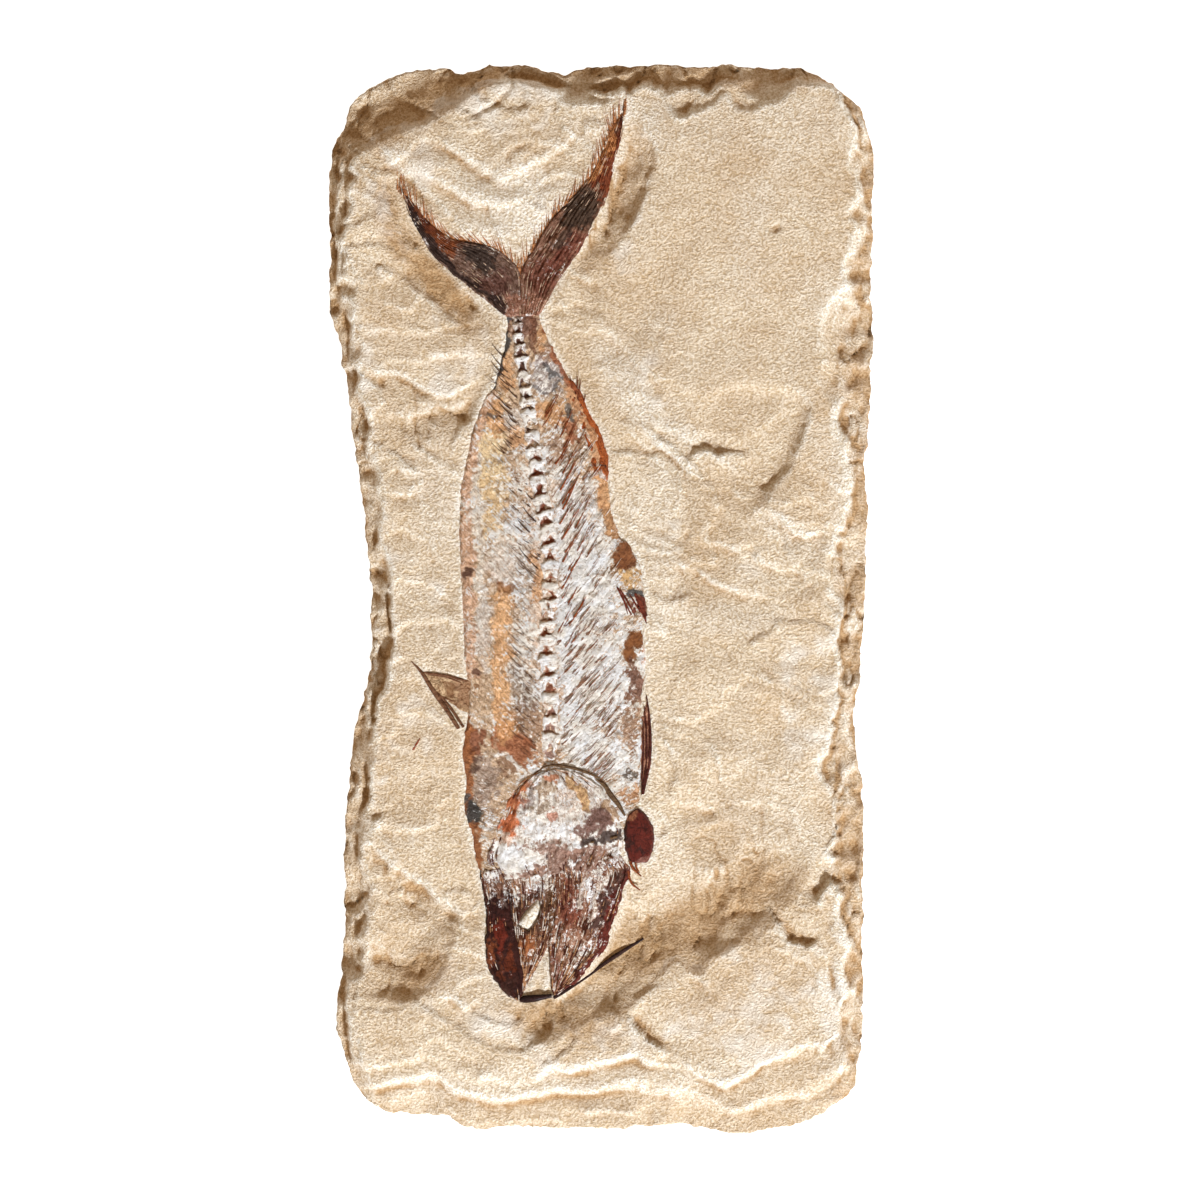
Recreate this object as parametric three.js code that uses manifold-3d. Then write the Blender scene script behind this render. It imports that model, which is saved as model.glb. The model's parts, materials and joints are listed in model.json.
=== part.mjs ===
// A fossil fish bedded in the face of a hand-trimmed limestone slab.
//
// Millimetres. The slab lies on its flat back with the fossil facing up: +Z leaves the fossil face, +Y runs
// from the fish's snout to its tail, and the origin is the middle of the back. The fish's back is towards -X.
//
// Each bone, fin and the scaly film of the trunk is a solid of its own, sunk a little into a seat cut for it
// in the stone, or in the bone that it lies on.
import * as THREE from "three";
import { mergeVertices } from "three/addons/utils/BufferGeometryUtils.js";
import Module from "manifold-3d";

const wasm = await Module();
wasm.setup();

// Driving dimensions
const SLAB_LENGTH = 300;
const SLAB_WIDTH = 153;
const BED_Z = 17; // the bedding plane that the fish lies on
const RIM_Z = 11.5; // the widest outline of the slab, below its broken bevels
const BACK_INSET = 3; // how far the broken sides run in between the rim and the back
const SEAT_GAP = 0.3; // clearance between a bone and whatever it is sunk in
const BONE_DEPTH = 1.2; // how far bones and film reach below the bedding plane
const BEVEL = 0.5; // the rounded-over rim of every bone
const CUTTER_TOP = 30; // the seats are cut down from here, above every piece

// Cells of the slab's faceted surface along X, Y and Z
const CELLS = [22, 40, 2];
// How much closer together the cells lie at the slab's edges than in its middle, from 0 to 1
const EDGE_CROWDING = 0.55;

// The slab's plan outline as four edges that meet in the middle of its worn corners
const TAIL_EDGE = spline([
  [-66, 142.5], [-56, 147.6], [-43, 148.4], [-31, 149.6], [-12, 147.4], [0, 149.4], [17, SLAB_LENGTH / 2],
  [35, 149.6], [50, 149], [61, 146.2], [69, 140.5],
]);
const HEAD_EDGE = spline([
  [-67, -139.5], [-58, -144.2], [-44, -144.9], [-33, -149], [-12, -148.4], [8, -148.2], [20, -147.2],
  [36, -SLAB_LENGTH / 2], [52, -148.3], [62, -144.6], [68, -140.5],
]);
const BACK_EDGE = spline([
  [-67, -139.5], [-71.8, -130], [-74.2, -118], [-72, -94], [-72, -66], [-69.5, -39], [-64.6, -14], [-65.8, 17],
  [-70.5, 53], [-74.6, 76], [-76.2, 88], [-SLAB_WIDTH / 2, 102], [-76.2, 116], [-72.8, 132], [-66, 142.5],
]);
const BELLY_EDGE = spline([
  [68, -140.5], [72.4, -131], [73.4, -112], [73.4, -66], [71.4, -32], [73.8, -2], [74.6, 28], [74.2, 44],
  [76, 70], [75.8, 90], [SLAB_WIDTH / 2, 112], [75.6, 127], [72.8, 137], [69, 140.5],
]);

// The broken bevel along each edge: how wide it is in plan. All of them fall from the face to RIM_Z.
const BEVEL_WIDTH = { tail: 11, head: 14, back: 5, belly: 8 };

// Hollows and plateaus around the fish, as tilted ellipses that blend into the face: [x, y] is the middle,
// [across, along] the half-widths, turn is in degrees and rise is against the bedding plane.
const RELIEF = [
  { at: [6, 104], half: [9, 26], turn: -28, rise: -3 }, // trench beside the tail's lower lobe
  { at: [-52, 92], half: [9, 24], turn: 38, rise: -2.5 }, // trench beside the tail's upper lobe
  { at: [40, -116], half: [40, 24], turn: 14, rise: 3.5 }, // plateau beyond the snout, belly side
  { at: [-38, -126], half: [40, 14], turn: 0, rise: 2.5 }, // plateau beyond the snout, back side
  { at: [44, 78], half: [34, 70], turn: 0, rise: 1 }, // plateau beside the tail
];

// The middle of the backbone from the tail to the neck, and its vertebrae
const BACKBONE = spline([
  [-23.4, 78.5], [-22.2, 65], [-20.2, 50], [-17.6, 33], [-15, 17], [-14.6, 2], [-15.3, -14], [-14.2, -30],
  [-15, -45],
]);
const VERTEBRAE = 28;
const VERTEBRA_FLANGE = 2.1; // half-width at the rims of a vertebra
const VERTEBRA_WAIST = 1.3; // half-width between them
const TAIL_TAPER = 0.35; // how much narrower the last vertebrae are

// Bones and fins from the topmost down: where two meet, the later one is cut back to clear the earlier one.
// z is how far a piece stands above the bedding plane, and floor how deep it reaches, if not BONE_DEPTH.
const PIECES = [
  { name: "vertebral_column", outline: backboneOutline(), z: 1.7, floor: 0, bevel: 0.4, finish: "pale_bone" },
  {
    name: "upper_jaw_front", z: 1.1, bevel: 0.25, finish: "dark_bone",
    outline: [[-22.8, -111.4], [-20, -111], [-14.2, -110.9], [-14, -112], [-18, -112.9], [-22, -113]],
  },
  {
    name: "upper_jaw_rod", z: 0.9, bevel: 0.2, finish: "dark_bone",
    outline: [
      [-12.8, -111.6], [-11, -110.2], [-4.5, -106], [2, -101.2], [7, -97.6], [11.7, -94.9], [12.1, -95.9],
      [7.6, -99], [2.6, -102.7], [-4, -107.5], [-10.5, -111.4],
    ],
  },
  {
    name: "throat_plate", z: 2, finish: "red_bone",
    outline: [
      [8, -61], [10.5, -59], [12.6, -61], [14.3, -65], [14.2, -69], [13, -73], [9, -73.4], [7.5, -70],
      [7, -65],
    ],
  },
  {
    name: "shoulder_bone", z: 1.4, bevel: 0.3, finish: "brown_bone",
    outline: [
      [-1.6, -50.2], [1.5, -51.2], [4, -54.6], [6.6, -58], [7, -61.5], [6.2, -64], [4.4, -62.5],
      [3.2, -58.6], [1, -55], [-1.2, -52.2],
    ],
  },
  {
    name: "gill_cover", z: 1.8, finish: "pale_bone",
    outline: [
      [-30, -72], [-28.5, -62], [-25, -54], [-20, -49.5], [-13, -48], [-6, -49.5], [0, -53], [3.5, -58],
      [5, -64], [4.5, -70], [-2, -71], [-9, -71], [-14, -74.5], [-20, -78.5], [-26, -79], [-29, -76],
    ],
  },
  {
    name: "lower_jaw", z: 1.8, finish: "red_bone",
    outline: [
      [-12, -73], [-6, -71.5], [1, -72.5], [7, -75.5], [6.5, -80], [4.5, -86], [2.5, -92], [0, -98],
      [-4, -103.5], [-8.5, -108], [-11.5, -110.5], [-14, -109], [-14.5, -103], [-13.5, -96], [-12, -88],
      [-11.5, -80],
    ],
  },
  {
    name: "skull_roof", z: 2, finish: "dark_bone",
    outline: [
      [-34, -78], [-31.5, -75], [-27, -79.5], [-25, -86], [-24.5, -93], [-23, -100], [-22.5, -107],
      [-23, -112], [-26, -111.5], [-29, -107], [-31.5, -102], [-32.2, -95], [-32.2, -88], [-33, -82],
    ],
  },
  {
    name: "cheek_bones", z: 1.5, finish: "brown_bone",
    outline: [
      [-26, -80], [-20, -79], [-14, -75.5], [-12.5, -80], [-13, -88], [-14.5, -95], [-16, -101], [-19, -104],
      [-21.5, -108.5], [-23, -106], [-24, -99], [-25, -92],
    ],
    hole: [[-23, -91], [-20, -86], [-17.5, -85], [-17.5, -88.5], [-20, -92]],
  },
  {
    name: "pectoral_fin", z: 1.2, bevel: 0.3, finish: "dark_bone",
    outline: [
      [11.2, -55.5], [10.6, -52], [11.4, -44], [11.2, -36], [12, -27], [13, -28], [13.8, -38], [13.8, -47],
      [12.4, -53],
    ],
  },
  {
    name: "pelvic_fin", z: 1.1, bevel: 0.3, finish: "red_bone",
    outline: [
      [4.6, 2.6], [8, 2], [11.5, 1.5], [13, -4.5], [12, -6], [10.5, -3.5], [8.8, -4.8], [6.8, -2.5],
    ],
  },
  {
    name: "anal_fin", z: 1, bevel: 0.3, finish: "brown_bone",
    outline: [
      [-9.5, 60.5], [-6.3, 61.8], [-5.5, 56.5], [-3.5, 50], [-0.3, 46], [1.5, 41], [1.8, 36], [-1, 36],
      [-3, 42], [-5.5, 47], [-7, 53], [-9, 57],
    ],
  },
  {
    name: "dorsal_fin", z: 1, bevel: 0.3, finish: "dark_bone",
    outline: [
      [-53, -17.8], [-49, -20.6], [-43, -21.8], [-35.5, -24], [-34, -28], [-33.8, -33], [-36.5, -36.5],
      [-39.2, -37.2], [-42, -32.5], [-46, -26.5], [-50, -21],
    ],
  },
  {
    name: "tail_upper_lobe", z: 1.2, bevel: 0.4, finish: "dark_bone",
    outline: [
      [-56, 115.4], [-54.4, 109], [-51, 102.5], [-47, 96.5], [-41, 91], [-34, 85.3], [-27, 80], [-23.6, 81.5],
      [-24, 88], [-26.5, 93], [-29.5, 97.5], [-34, 100.3], [-40, 100.8], [-46, 104], [-51, 109],
    ],
  },
  {
    name: "tail_lower_lobe", z: 1.2, bevel: 0.4, finish: "dark_bone",
    outline: [
      [6.3, 137], [5, 128.5], [2.7, 120], [0.5, 112], [-3, 105], [-7, 97], [-12, 89.5], [-16, 84],
      [-19, 80.5], [-23, 81.5], [-22.4, 88], [-20, 95], [-16, 101.5], [-12.5, 107.5], [-8, 112], [-3, 118.5],
      [1, 126], [3.5, 132],
    ],
  },
  {
    name: "trunk", z: 0.8, finish: "scaly_film",
    outline: [
      [-26.6, 79.3], [-26.9, 72], [-28.8, 66], [-30.2, 60], [-33.6, 55.5], [-35.4, 50], [-37.4, 43.5],
      [-38.8, 37], [-39.7, 30], [-39.9, 20], [-39.9, 10], [-39.4, 0], [-38.9, -10], [-38.4, -19],
      [-37.6, -25], [-37.4, -33], [-38.6, -38], [-39.2, -45], [-38, -51], [-38.6, -56], [-38.4, -62],
      [-36.2, -67], [-35.8, -73], [-34.5, -77], [-31.5, -74], [-26, -66], [-18, -58], [-8, -56], [2, -60],
      [6, -63], [8.6, -58.5], [10.8, -54], [11.2, -46], [11, -38], [11.2, -29], [12.3, -22], [12.4, -15],
      [11.6, -9], [12.4, -2], [12, 4], [11.2, 9], [8.6, 14.6], [5.2, 18], [3.2, 24], [2.6, 30], [1.8, 36],
      [1.4, 41], [-0.4, 46.3], [-3.4, 50.3], [-5, 55], [-9.6, 61], [-10.8, 65], [-13, 69], [-15.8, 74.5],
      [-17.4, 79.8],
    ],
  },
];

const FINISHES = {
  limestone: { color: 0xd8c29c, roughness: 0.92 },
  scaly_film: { color: 0xb8977a, roughness: 0.6 },
  pale_bone: { color: 0xcdbfae, roughness: 0.5 },
  brown_bone: { color: 0x8a5a36, roughness: 0.5 },
  red_bone: { color: 0x6e3324, roughness: 0.45 },
  dark_bone: { color: 0x3c241d, roughness: 0.5 },
};

// A smooth plan curve through points
function spline(points) {
  return new THREE.SplineCurve(points.map(([x, y]) => new THREE.Vector2(x, y)));
}

function smoothStep(value, from, to) {
  return THREE.MathUtils.smoothstep(value, from, to);
}

// The plan outline of a chain of hourglass-shaped vertebrae: down one side of the backbone and up the other
function backboneOutline() {
  const sides = [[], []];
  const steps = VERTEBRAE * 2;
  for (let i = 0; i <= steps; i++) {
    const along = i / steps;
    const middle = BACKBONE.getPointAt(along);
    const ahead = BACKBONE.getTangentAt(along);
    const taper = 1 - TAIL_TAPER * (1 - smoothStep(along, 0, 0.4));
    const half = (i % 2 ? VERTEBRA_WAIST : VERTEBRA_FLANGE) * taper;
    sides[0].push([middle.x + ahead.y * half, middle.y - ahead.x * half]);
    sides[1].unshift([middle.x - ahead.y * half, middle.y + ahead.x * half]);
  }
  return [...sides[0], ...sides[1]];
}

// An outline as counter-clockwise vectors
function ring(points) {
  const vectors = points.map(([x, y]) => new THREE.Vector2(x, y));
  return THREE.ShapeUtils.isClockWise(vectors) ? vectors.reverse() : vectors;
}

// A ring moved outwards, or inwards by a negative distance. A sharp tip moves at most three times as far.
function offset(points, distance) {
  return points.map((point, i) => {
    const into = point.clone().sub(points.at(i - 1)).normalize();
    const onward = points[(i + 1) % points.length].clone().sub(point).normalize();
    const bisector = new THREE.Vector2(into.y + onward.y, -into.x - onward.x);
    const reach = Math.min(3, 2 / Math.max(bisector.lengthSq(), 1e-6));
    return point.clone().addScaledVector(bisector, distance * reach);
  });
}

// A flat-sided prism over a ring between two heights, with a ring left open through it if asked
function prism(outline, low, high, bevel = 0, hole = null) {
  const shape = new THREE.Shape(bevel ? offset(outline, -bevel) : outline);
  if (hole) shape.holes.push(new THREE.Path(offset(hole, bevel)));
  return new THREE.ExtrudeGeometry(shape, {
    depth: high - low - 2 * bevel,
    bevelEnabled: bevel > 0,
    bevelThickness: bevel,
    bevelSize: bevel,
    bevelSegments: 1,
    steps: 1,
  }).translate(0, 0, low + bevel);
}

function solidOf(geometry) {
  const bare = new THREE.BufferGeometry().setAttribute("position", geometry.getAttribute("position"));
  if (geometry.index) bare.setIndex(geometry.index);
  const merged = mergeVertices(bare, 1e-4);
  return new wasm.Manifold(
    new wasm.Mesh({
      numProp: 3,
      vertProperties: merged.getAttribute("position").array,
      triVerts: new Uint32Array(merged.index.array),
    }),
  );
}

function geometryOf(solid) {
  const mesh = solid.getMesh();
  const geometry = new THREE.BufferGeometry();
  geometry.setAttribute("position", new THREE.BufferAttribute(mesh.vertProperties, 3));
  geometry.setIndex(new THREE.BufferAttribute(mesh.triVerts, 1));
  geometry.computeVertexNormals();
  return geometry;
}

// Cell lines lie closer together near 0 and 1 than in the middle.
function crowd(t) {
  return t - (EDGE_CROWDING * Math.sin(2 * Math.PI * t)) / (2 * Math.PI);
}

// The plan point at u across and v along the slab: a Coons patch between its four edges
function planPoint(u, v) {
  const [tail, head] = [TAIL_EDGE.getPointAt(u), HEAD_EDGE.getPointAt(u)];
  const [back, belly] = [BACK_EDGE.getPointAt(v), BELLY_EDGE.getPointAt(v)];
  const corner = (edge, end) => edge.getPointAt(end);
  const across = head.clone().multiplyScalar(1 - v).addScaledVector(tail, v);
  const along = back.clone().multiplyScalar(1 - u).addScaledVector(belly, u);
  const corners = corner(HEAD_EDGE, 0).multiplyScalar((1 - u) * (1 - v))
    .addScaledVector(corner(HEAD_EDGE, 1), u * (1 - v))
    .addScaledVector(corner(TAIL_EDGE, 0), (1 - u) * v)
    .addScaledVector(corner(TAIL_EDGE, 1), u * v);
  const point = across.add(along).sub(corners);
  const inset = {
    tail: point.distanceTo(tail), head: point.distanceTo(head), back: point.distanceTo(back),
    belly: point.distanceTo(belly),
  };
  return { point, inset };
}

// Height of the fossil face: bevels at the edges, the bedding plane under the fish, relief around it
function faceHeight(point, inset) {
  let rise = 0;
  for (const { at, half, turn, rise: most } of RELIEF) {
    const local = point.clone().sub(new THREE.Vector2(...at));
    local.rotateAround(new THREE.Vector2(), THREE.MathUtils.degToRad(-turn));
    rise += most * (1 - smoothStep(Math.hypot(local.x / half[0], local.y / half[1]), 0.55, 1.15));
  }
  const kept = Object.keys(BEVEL_WIDTH).map((side) => smoothStep(inset[side], 0, BEVEL_WIDTH[side]));
  return THREE.MathUtils.lerp(RIM_Z, BED_Z + rise, Math.min(...kept));
}

// The slab is a box whose cells are moved onto the outline, the relief and the broken sides.
function slabSolid() {
  const geometry = new THREE.BoxGeometry(1, 1, 1, ...CELLS);
  const place = geometry.getAttribute("position");
  for (let i = 0; i < place.count; i++) {
    const [u, v] = [crowd(place.getX(i) + 0.5), crowd(place.getY(i) + 0.5)];
    const level = place.getZ(i) + 0.5;
    const { point, inset } = planPoint(u, v);
    const fromEdge = Math.min(...Object.values(inset));
    const undercut = BACK_INSET * (1 - smoothStep(fromEdge, 0, 20)) * (1 - level);
    point.setLength(point.length() - undercut);
    place.setXYZ(i, point.x, point.y, level * faceHeight(point, inset));
  }
  return solidOf(geometry);
}

const fossil = new THREE.Group();
fossil.name = "fossil_fish_slab";

function addPiece(name, solid, finish) {
  const material = new THREE.MeshStandardMaterial({ ...FINISHES[finish], metalness: 0, flatShading: true });
  const mesh = new THREE.Mesh(geometryOf(solid), material);
  mesh.name = name;
  fossil.add(mesh);
}

const seats = [];
let slab = slabSolid();
for (const { name, outline, hole, z, floor = -BONE_DEPTH, bevel = BEVEL, finish } of PIECES) {
  const low = BED_Z + floor;
  const rim = ring(outline);
  let solid = solidOf(prism(rim, low, BED_Z + z, bevel, hole && ring(hole)));
  for (const seat of seats) solid = solid.subtract(seat);
  addPiece(name, solid, finish);
  const seat = solidOf(prism(offset(rim, SEAT_GAP), low - SEAT_GAP, CUTTER_TOP));
  seats.push(seat);
  slab = slab.subtract(seat);
}
addPiece("limestone_slab", slab, "limestone");

export default fossil;
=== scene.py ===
# %% [markdown]
# # A fossil fish in a limestone slab
#
# The object is one slab of split limestone, about as long as a forearm, with a fork-tailed fish
# bedded in its face. Everything here is sculpted as height over a flat plan, because that is what
# a bedding plane is: a floor of old mud with steps, scoops and bones pressed into it.
#
# The construction frame comes first. Its boxes and its record say how big the slab is.

# %% Load the frame
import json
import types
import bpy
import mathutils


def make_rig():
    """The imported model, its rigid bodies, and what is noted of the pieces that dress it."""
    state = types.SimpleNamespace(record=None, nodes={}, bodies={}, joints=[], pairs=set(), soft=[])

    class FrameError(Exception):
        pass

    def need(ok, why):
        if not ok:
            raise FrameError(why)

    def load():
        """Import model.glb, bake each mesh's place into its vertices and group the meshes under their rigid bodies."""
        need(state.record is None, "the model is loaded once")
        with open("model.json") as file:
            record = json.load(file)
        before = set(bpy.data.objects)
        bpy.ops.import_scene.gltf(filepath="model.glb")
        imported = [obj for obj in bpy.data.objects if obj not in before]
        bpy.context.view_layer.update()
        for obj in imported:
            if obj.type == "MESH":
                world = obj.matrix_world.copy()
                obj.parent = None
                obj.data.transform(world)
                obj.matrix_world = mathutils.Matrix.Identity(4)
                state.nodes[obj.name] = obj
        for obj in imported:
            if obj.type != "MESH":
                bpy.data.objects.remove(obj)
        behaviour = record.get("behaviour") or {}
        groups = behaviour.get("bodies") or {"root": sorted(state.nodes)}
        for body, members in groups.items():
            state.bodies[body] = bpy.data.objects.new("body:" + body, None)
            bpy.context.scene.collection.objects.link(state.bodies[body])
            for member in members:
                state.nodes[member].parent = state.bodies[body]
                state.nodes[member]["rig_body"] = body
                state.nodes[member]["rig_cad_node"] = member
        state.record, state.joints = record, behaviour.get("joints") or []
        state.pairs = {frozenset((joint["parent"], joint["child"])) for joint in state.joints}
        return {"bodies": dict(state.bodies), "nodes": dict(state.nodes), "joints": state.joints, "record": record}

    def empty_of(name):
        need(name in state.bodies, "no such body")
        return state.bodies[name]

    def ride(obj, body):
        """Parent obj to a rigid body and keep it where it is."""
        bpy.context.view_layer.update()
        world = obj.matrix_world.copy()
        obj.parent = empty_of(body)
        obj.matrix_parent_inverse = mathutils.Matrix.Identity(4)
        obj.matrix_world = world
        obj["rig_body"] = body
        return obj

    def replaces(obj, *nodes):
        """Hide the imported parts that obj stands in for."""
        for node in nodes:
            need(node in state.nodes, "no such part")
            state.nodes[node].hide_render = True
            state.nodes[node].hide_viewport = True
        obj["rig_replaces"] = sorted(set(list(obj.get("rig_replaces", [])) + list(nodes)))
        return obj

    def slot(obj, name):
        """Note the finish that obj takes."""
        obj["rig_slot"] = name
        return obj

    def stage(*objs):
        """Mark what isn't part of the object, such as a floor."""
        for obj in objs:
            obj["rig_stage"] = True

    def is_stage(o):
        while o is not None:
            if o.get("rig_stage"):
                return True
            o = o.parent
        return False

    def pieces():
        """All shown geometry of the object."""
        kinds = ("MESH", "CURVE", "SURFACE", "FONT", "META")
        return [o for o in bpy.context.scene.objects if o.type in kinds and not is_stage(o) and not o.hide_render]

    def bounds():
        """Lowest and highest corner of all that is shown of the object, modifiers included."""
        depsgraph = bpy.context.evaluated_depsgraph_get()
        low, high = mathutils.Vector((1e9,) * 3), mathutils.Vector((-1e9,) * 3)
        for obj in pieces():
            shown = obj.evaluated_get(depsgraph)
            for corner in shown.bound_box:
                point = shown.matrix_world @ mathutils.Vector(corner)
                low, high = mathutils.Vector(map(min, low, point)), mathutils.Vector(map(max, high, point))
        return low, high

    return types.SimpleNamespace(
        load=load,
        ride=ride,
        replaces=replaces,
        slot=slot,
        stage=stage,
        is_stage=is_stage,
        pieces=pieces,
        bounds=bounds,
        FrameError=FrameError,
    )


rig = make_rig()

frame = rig.load()

import json
import math

import bmesh
import bpy
import numpy as np

cad_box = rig.bounds()
print("construction box", cad_box)

# %% [markdown]
# ## Measures
#
# All shapes below are drawn in millimetres and turned into metres when a mesh is finished. The
# fish lies on a flat bed 17 mm above the slab's back, the same height as in the construction.

# %% Measures shared by the whole slab
MM = 0.001
BED = 17.0  # height of the bed above the slab's back
TOP = 20.2  # nothing stands higher than this
RIM = 11.5  # where the bevels end and the sides begin
BACK_INSET = 2.6  # how far the back's outline lies inside the face's
HALF_WIDTH, HALF_LENGTH = 76.5, 150.0
CELLS_ACROSS, CELLS_ALONG = 206, 404


def ease(value, start, end):
    """A smooth ramp from 0 at start to 1 at end."""
    t = np.clip((value - start) / (end - start), 0, 1)
    return t * t * (3 - 2 * t)


def smooth_line(points, samples):
    """Even samples along a smooth curve through the points, with any further columns carried along."""
    knots = np.array(points, float)
    ends = np.vstack([2 * knots[0] - knots[1], knots, 2 * knots[-1] - knots[-2]])
    t = np.linspace(0, 1, 16, endpoint=False)[:, None]
    spans = [
        0.5 * (2 * b + (c - a) * t + (2 * a - 5 * b + 4 * c - d) * t**2 + (3 * b - a - 3 * c + d) * t**3)
        for a, b, c, d in zip(ends, ends[1:], ends[2:], ends[3:])
    ]
    fine = np.vstack(spans + [knots[-1:]])
    run = np.r_[0, np.cumsum(np.hypot(*np.diff(fine[:, :2], axis=0).T))]
    even = np.linspace(0, run[-1], samples)
    return np.column_stack([np.interp(even, run, column) for column in fine.T])


print("bed at", BED, "mm")

# %% [markdown]
# ## Natural roughness
#
# Broken stone is rough at every size. One helper makes smooth random bumps of a given size, and
# adds smaller ones on top. It works on whole arrays of points at once, which keeps the sculpting
# of some eighty thousand points quick. The seed makes every run give the same stone.

# %% A roughness that any step can use
def rumple(x, y, size, seed, octaves=3, gain=0.5):
    """Random bumps between about -1 and 1, size mm across, each octave half as wide as the last."""
    table = np.random.default_rng(seed).uniform(-1, 1, (256, 256))
    total, weight, amount = 0.0, 0.0, 1.0
    for octave in range(octaves):
        u, v = x / size + 17.3 * octave, y / size - 9.1 * octave
        i, j = np.floor(u).astype(int), np.floor(v).astype(int)
        s, t = ease(u - i, 0, 1), ease(v - j, 0, 1)
        near = table[i % 256, j % 256] * (1 - s) + table[(i + 1) % 256, j % 256] * s
        far = table[i % 256, (j + 1) % 256] * (1 - s) + table[(i + 1) % 256, (j + 1) % 256] * s
        total = total + amount * (near * (1 - t) + far * t)
        weight += amount
        amount, size = amount * gain, size / 2
    return total / weight * 1.6


def frayed(x, y, amount, size, seed):
    """The same points pushed about a little, so that whatever is drawn through them gets ragged edges."""
    return x + amount * rumple(x, y, size, seed), y + amount * rumple(x, y, size, seed + 1)


def nearest(x, y, line):
    """Distance to a line, which side of it (below 0 is its right-hand side), and the line's third column."""
    reach, side, carried = np.full(x.shape, 1e9), np.zeros(x.shape), np.zeros(x.shape)
    for a, b in zip(line, line[1:]):
        run = b[:2] - a[:2]
        t = np.clip(((x - a[0]) * run[0] + (y - a[1]) * run[1]) / (run @ run), 0, 1)
        gap = np.hypot(x - a[0] - t * run[0], y - a[1] - t * run[1])
        nearer = gap < reach
        reach[nearer] = gap[nearer]
        side[nearer] = (run[0] * (y - a[1]) - run[1] * (x - a[0]))[nearer]
        carried[nearer] = (a[2] + t * (b[2] - a[2]))[nearer]
    return reach, side, carried


print("roughness from", rumple(np.arange(9.0), np.zeros(9), 2, 1).round(2))

# %% [markdown]
# ## Steps, scoops and scratches
#
# Split limestone breaks in a few ways, and each gets a helper. A step is a broken edge: the stone
# on its right-hand side is lower, and both sides find back to the old level over some distance. A
# scoop is a shallow bowl left by a struck flake, with a crisp rim where the bowl meets the surface.
# A scratch is a narrow groove, or a ridge where its depth is negative.

# %% Ways for stone to break
PROUD_SHARE = 0.35  # how much of a step's drop stands above the old level


def step(height, x, y, points, fade, edge=0.9):
    """Parts the stone at a line by the points' third values, in mm. Its right-hand side is the low one."""
    line = np.array(points, float)
    low, high = line[:, :2].min(0) - fade, line[:, :2].max(0) + fade
    inside = (x > low[0]) & (x < high[0]) & (y > low[1]) & (y < high[1])
    px, py = frayed(*frayed(x[inside], y[inside], 0.5, 4.5, 5), 0.2, 1.4, 7)
    reach, side, drop = nearest(px, py, line)
    scarp = 1 - (1 - np.clip(reach / edge, 0, 1)) ** 2
    sunk = drop * ((1 + PROUD_SHARE) * scarp - PROUD_SHARE) * (1 - ease(reach, edge, fade))
    raised = PROUD_SHARE * drop * (1 - ease(reach, 0, fade))
    height[inside] += np.where(side < 0, -sunk, raised)


def from_middle(x, y, half, turn):
    """How far points lie from the middle of an ellipse, as a share of its half-widths. turn is in degrees."""
    c, s = math.cos(math.radians(turn)), math.sin(math.radians(turn))
    return np.hypot((x * c + y * s) / half[0], (y * c - x * s) / half[1])


def scoop(height, x, y, at, half, turn, depth, level):
    """Cuts a bowl into the stone, depth below level in its middle. It reaches level at half from there."""
    r = from_middle(*frayed(x - at[0], y - at[1], 0.5, 3.7, 11), half, turn)
    bowl = level + depth * (r**2 - 1)
    np.minimum(height, np.where(r < 1.7, bowl, 99), out=height)


def scratch(height, x, y, points, width, depth):
    """A groove along a line, its depth scaled by the points' third values."""
    line = np.array(points, float)
    px, py = frayed(x, y, 0.4, 2.3, 23)
    reach, _, share = nearest(px, py, line)
    height -= depth * share * np.exp(-((reach / width) ** 2))


print("three ways to break stone")

# %% [markdown]
# ## The slab's plan
#
# Such a slab is trimmed to a rough rectangle with a hammer, so no edge is straight: the long sides
# wander in and out, and the corners are knocked off. Four edge lines describe that. A flat grid is
# then stretched between them, which is called a Coons patch: every point of the grid is placed by
# its distance along two opposite edges, so cells near an edge run along that edge. The bevels can
# then be measured inwards from it.

# %% The four trimmed edges, and the grid stretched between them
TAIL_EDGE = [
    (-66, 142.5), (-61, 145.5), (-56, 147.6), (-49, 148.2), (-43, 148.4), (-40, 147.3), (-35, 148.3),
    (-31, 149.6), (-20, 149.3), (-14, 147.9), (-10, 147.2), (-6, 148.3), (0, 149.5), (8, 149.4),
    (17, 150), (24, 149.4), (30, 149), (35, 149.9), (42, 149.2), (50, 149), (57, 148), (61, 146.5),
    (65, 144), (69, 140.5),
]
HEAD_EDGE = [
    (-67, -139.5), (-63, -142.5), (-58, -144.2), (-50, -144.7), (-44, -144.9), (-39, -147.5),
    (-33, -149), (-27, -147.8), (-16, -148.3), (-6, -148.8), (4, -148.4), (12, -148), (20, -147.2),
    (28, -148.7), (36, -150), (44, -149.4), (52, -148.3), (58, -146.5), (64, -143), (68, -140.5),
]
BACK_EDGE = [
    (-67, -139.5), (-69.5, -136), (-71.5, -130), (-74, -122), (-74.2, -114), (-73, -106), (-72, -94),
    (-71.8, -80), (-72, -66), (-71, -54), (-69.5, -39), (-67, -29), (-64.8, -19), (-64.4, -8),
    (-64.8, 3), (-65.8, 17), (-67, 28), (-69, 41), (-70.5, 53), (-72.3, 65), (-74, 74), (-76.3, 81),
    (-76.4, 95), (-76.3, 108), (-76.4, 118), (-75.8, 122), (-74.8, 128), (-72.2, 132), (-70, 139),
    (-66, 142.5),
]
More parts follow.
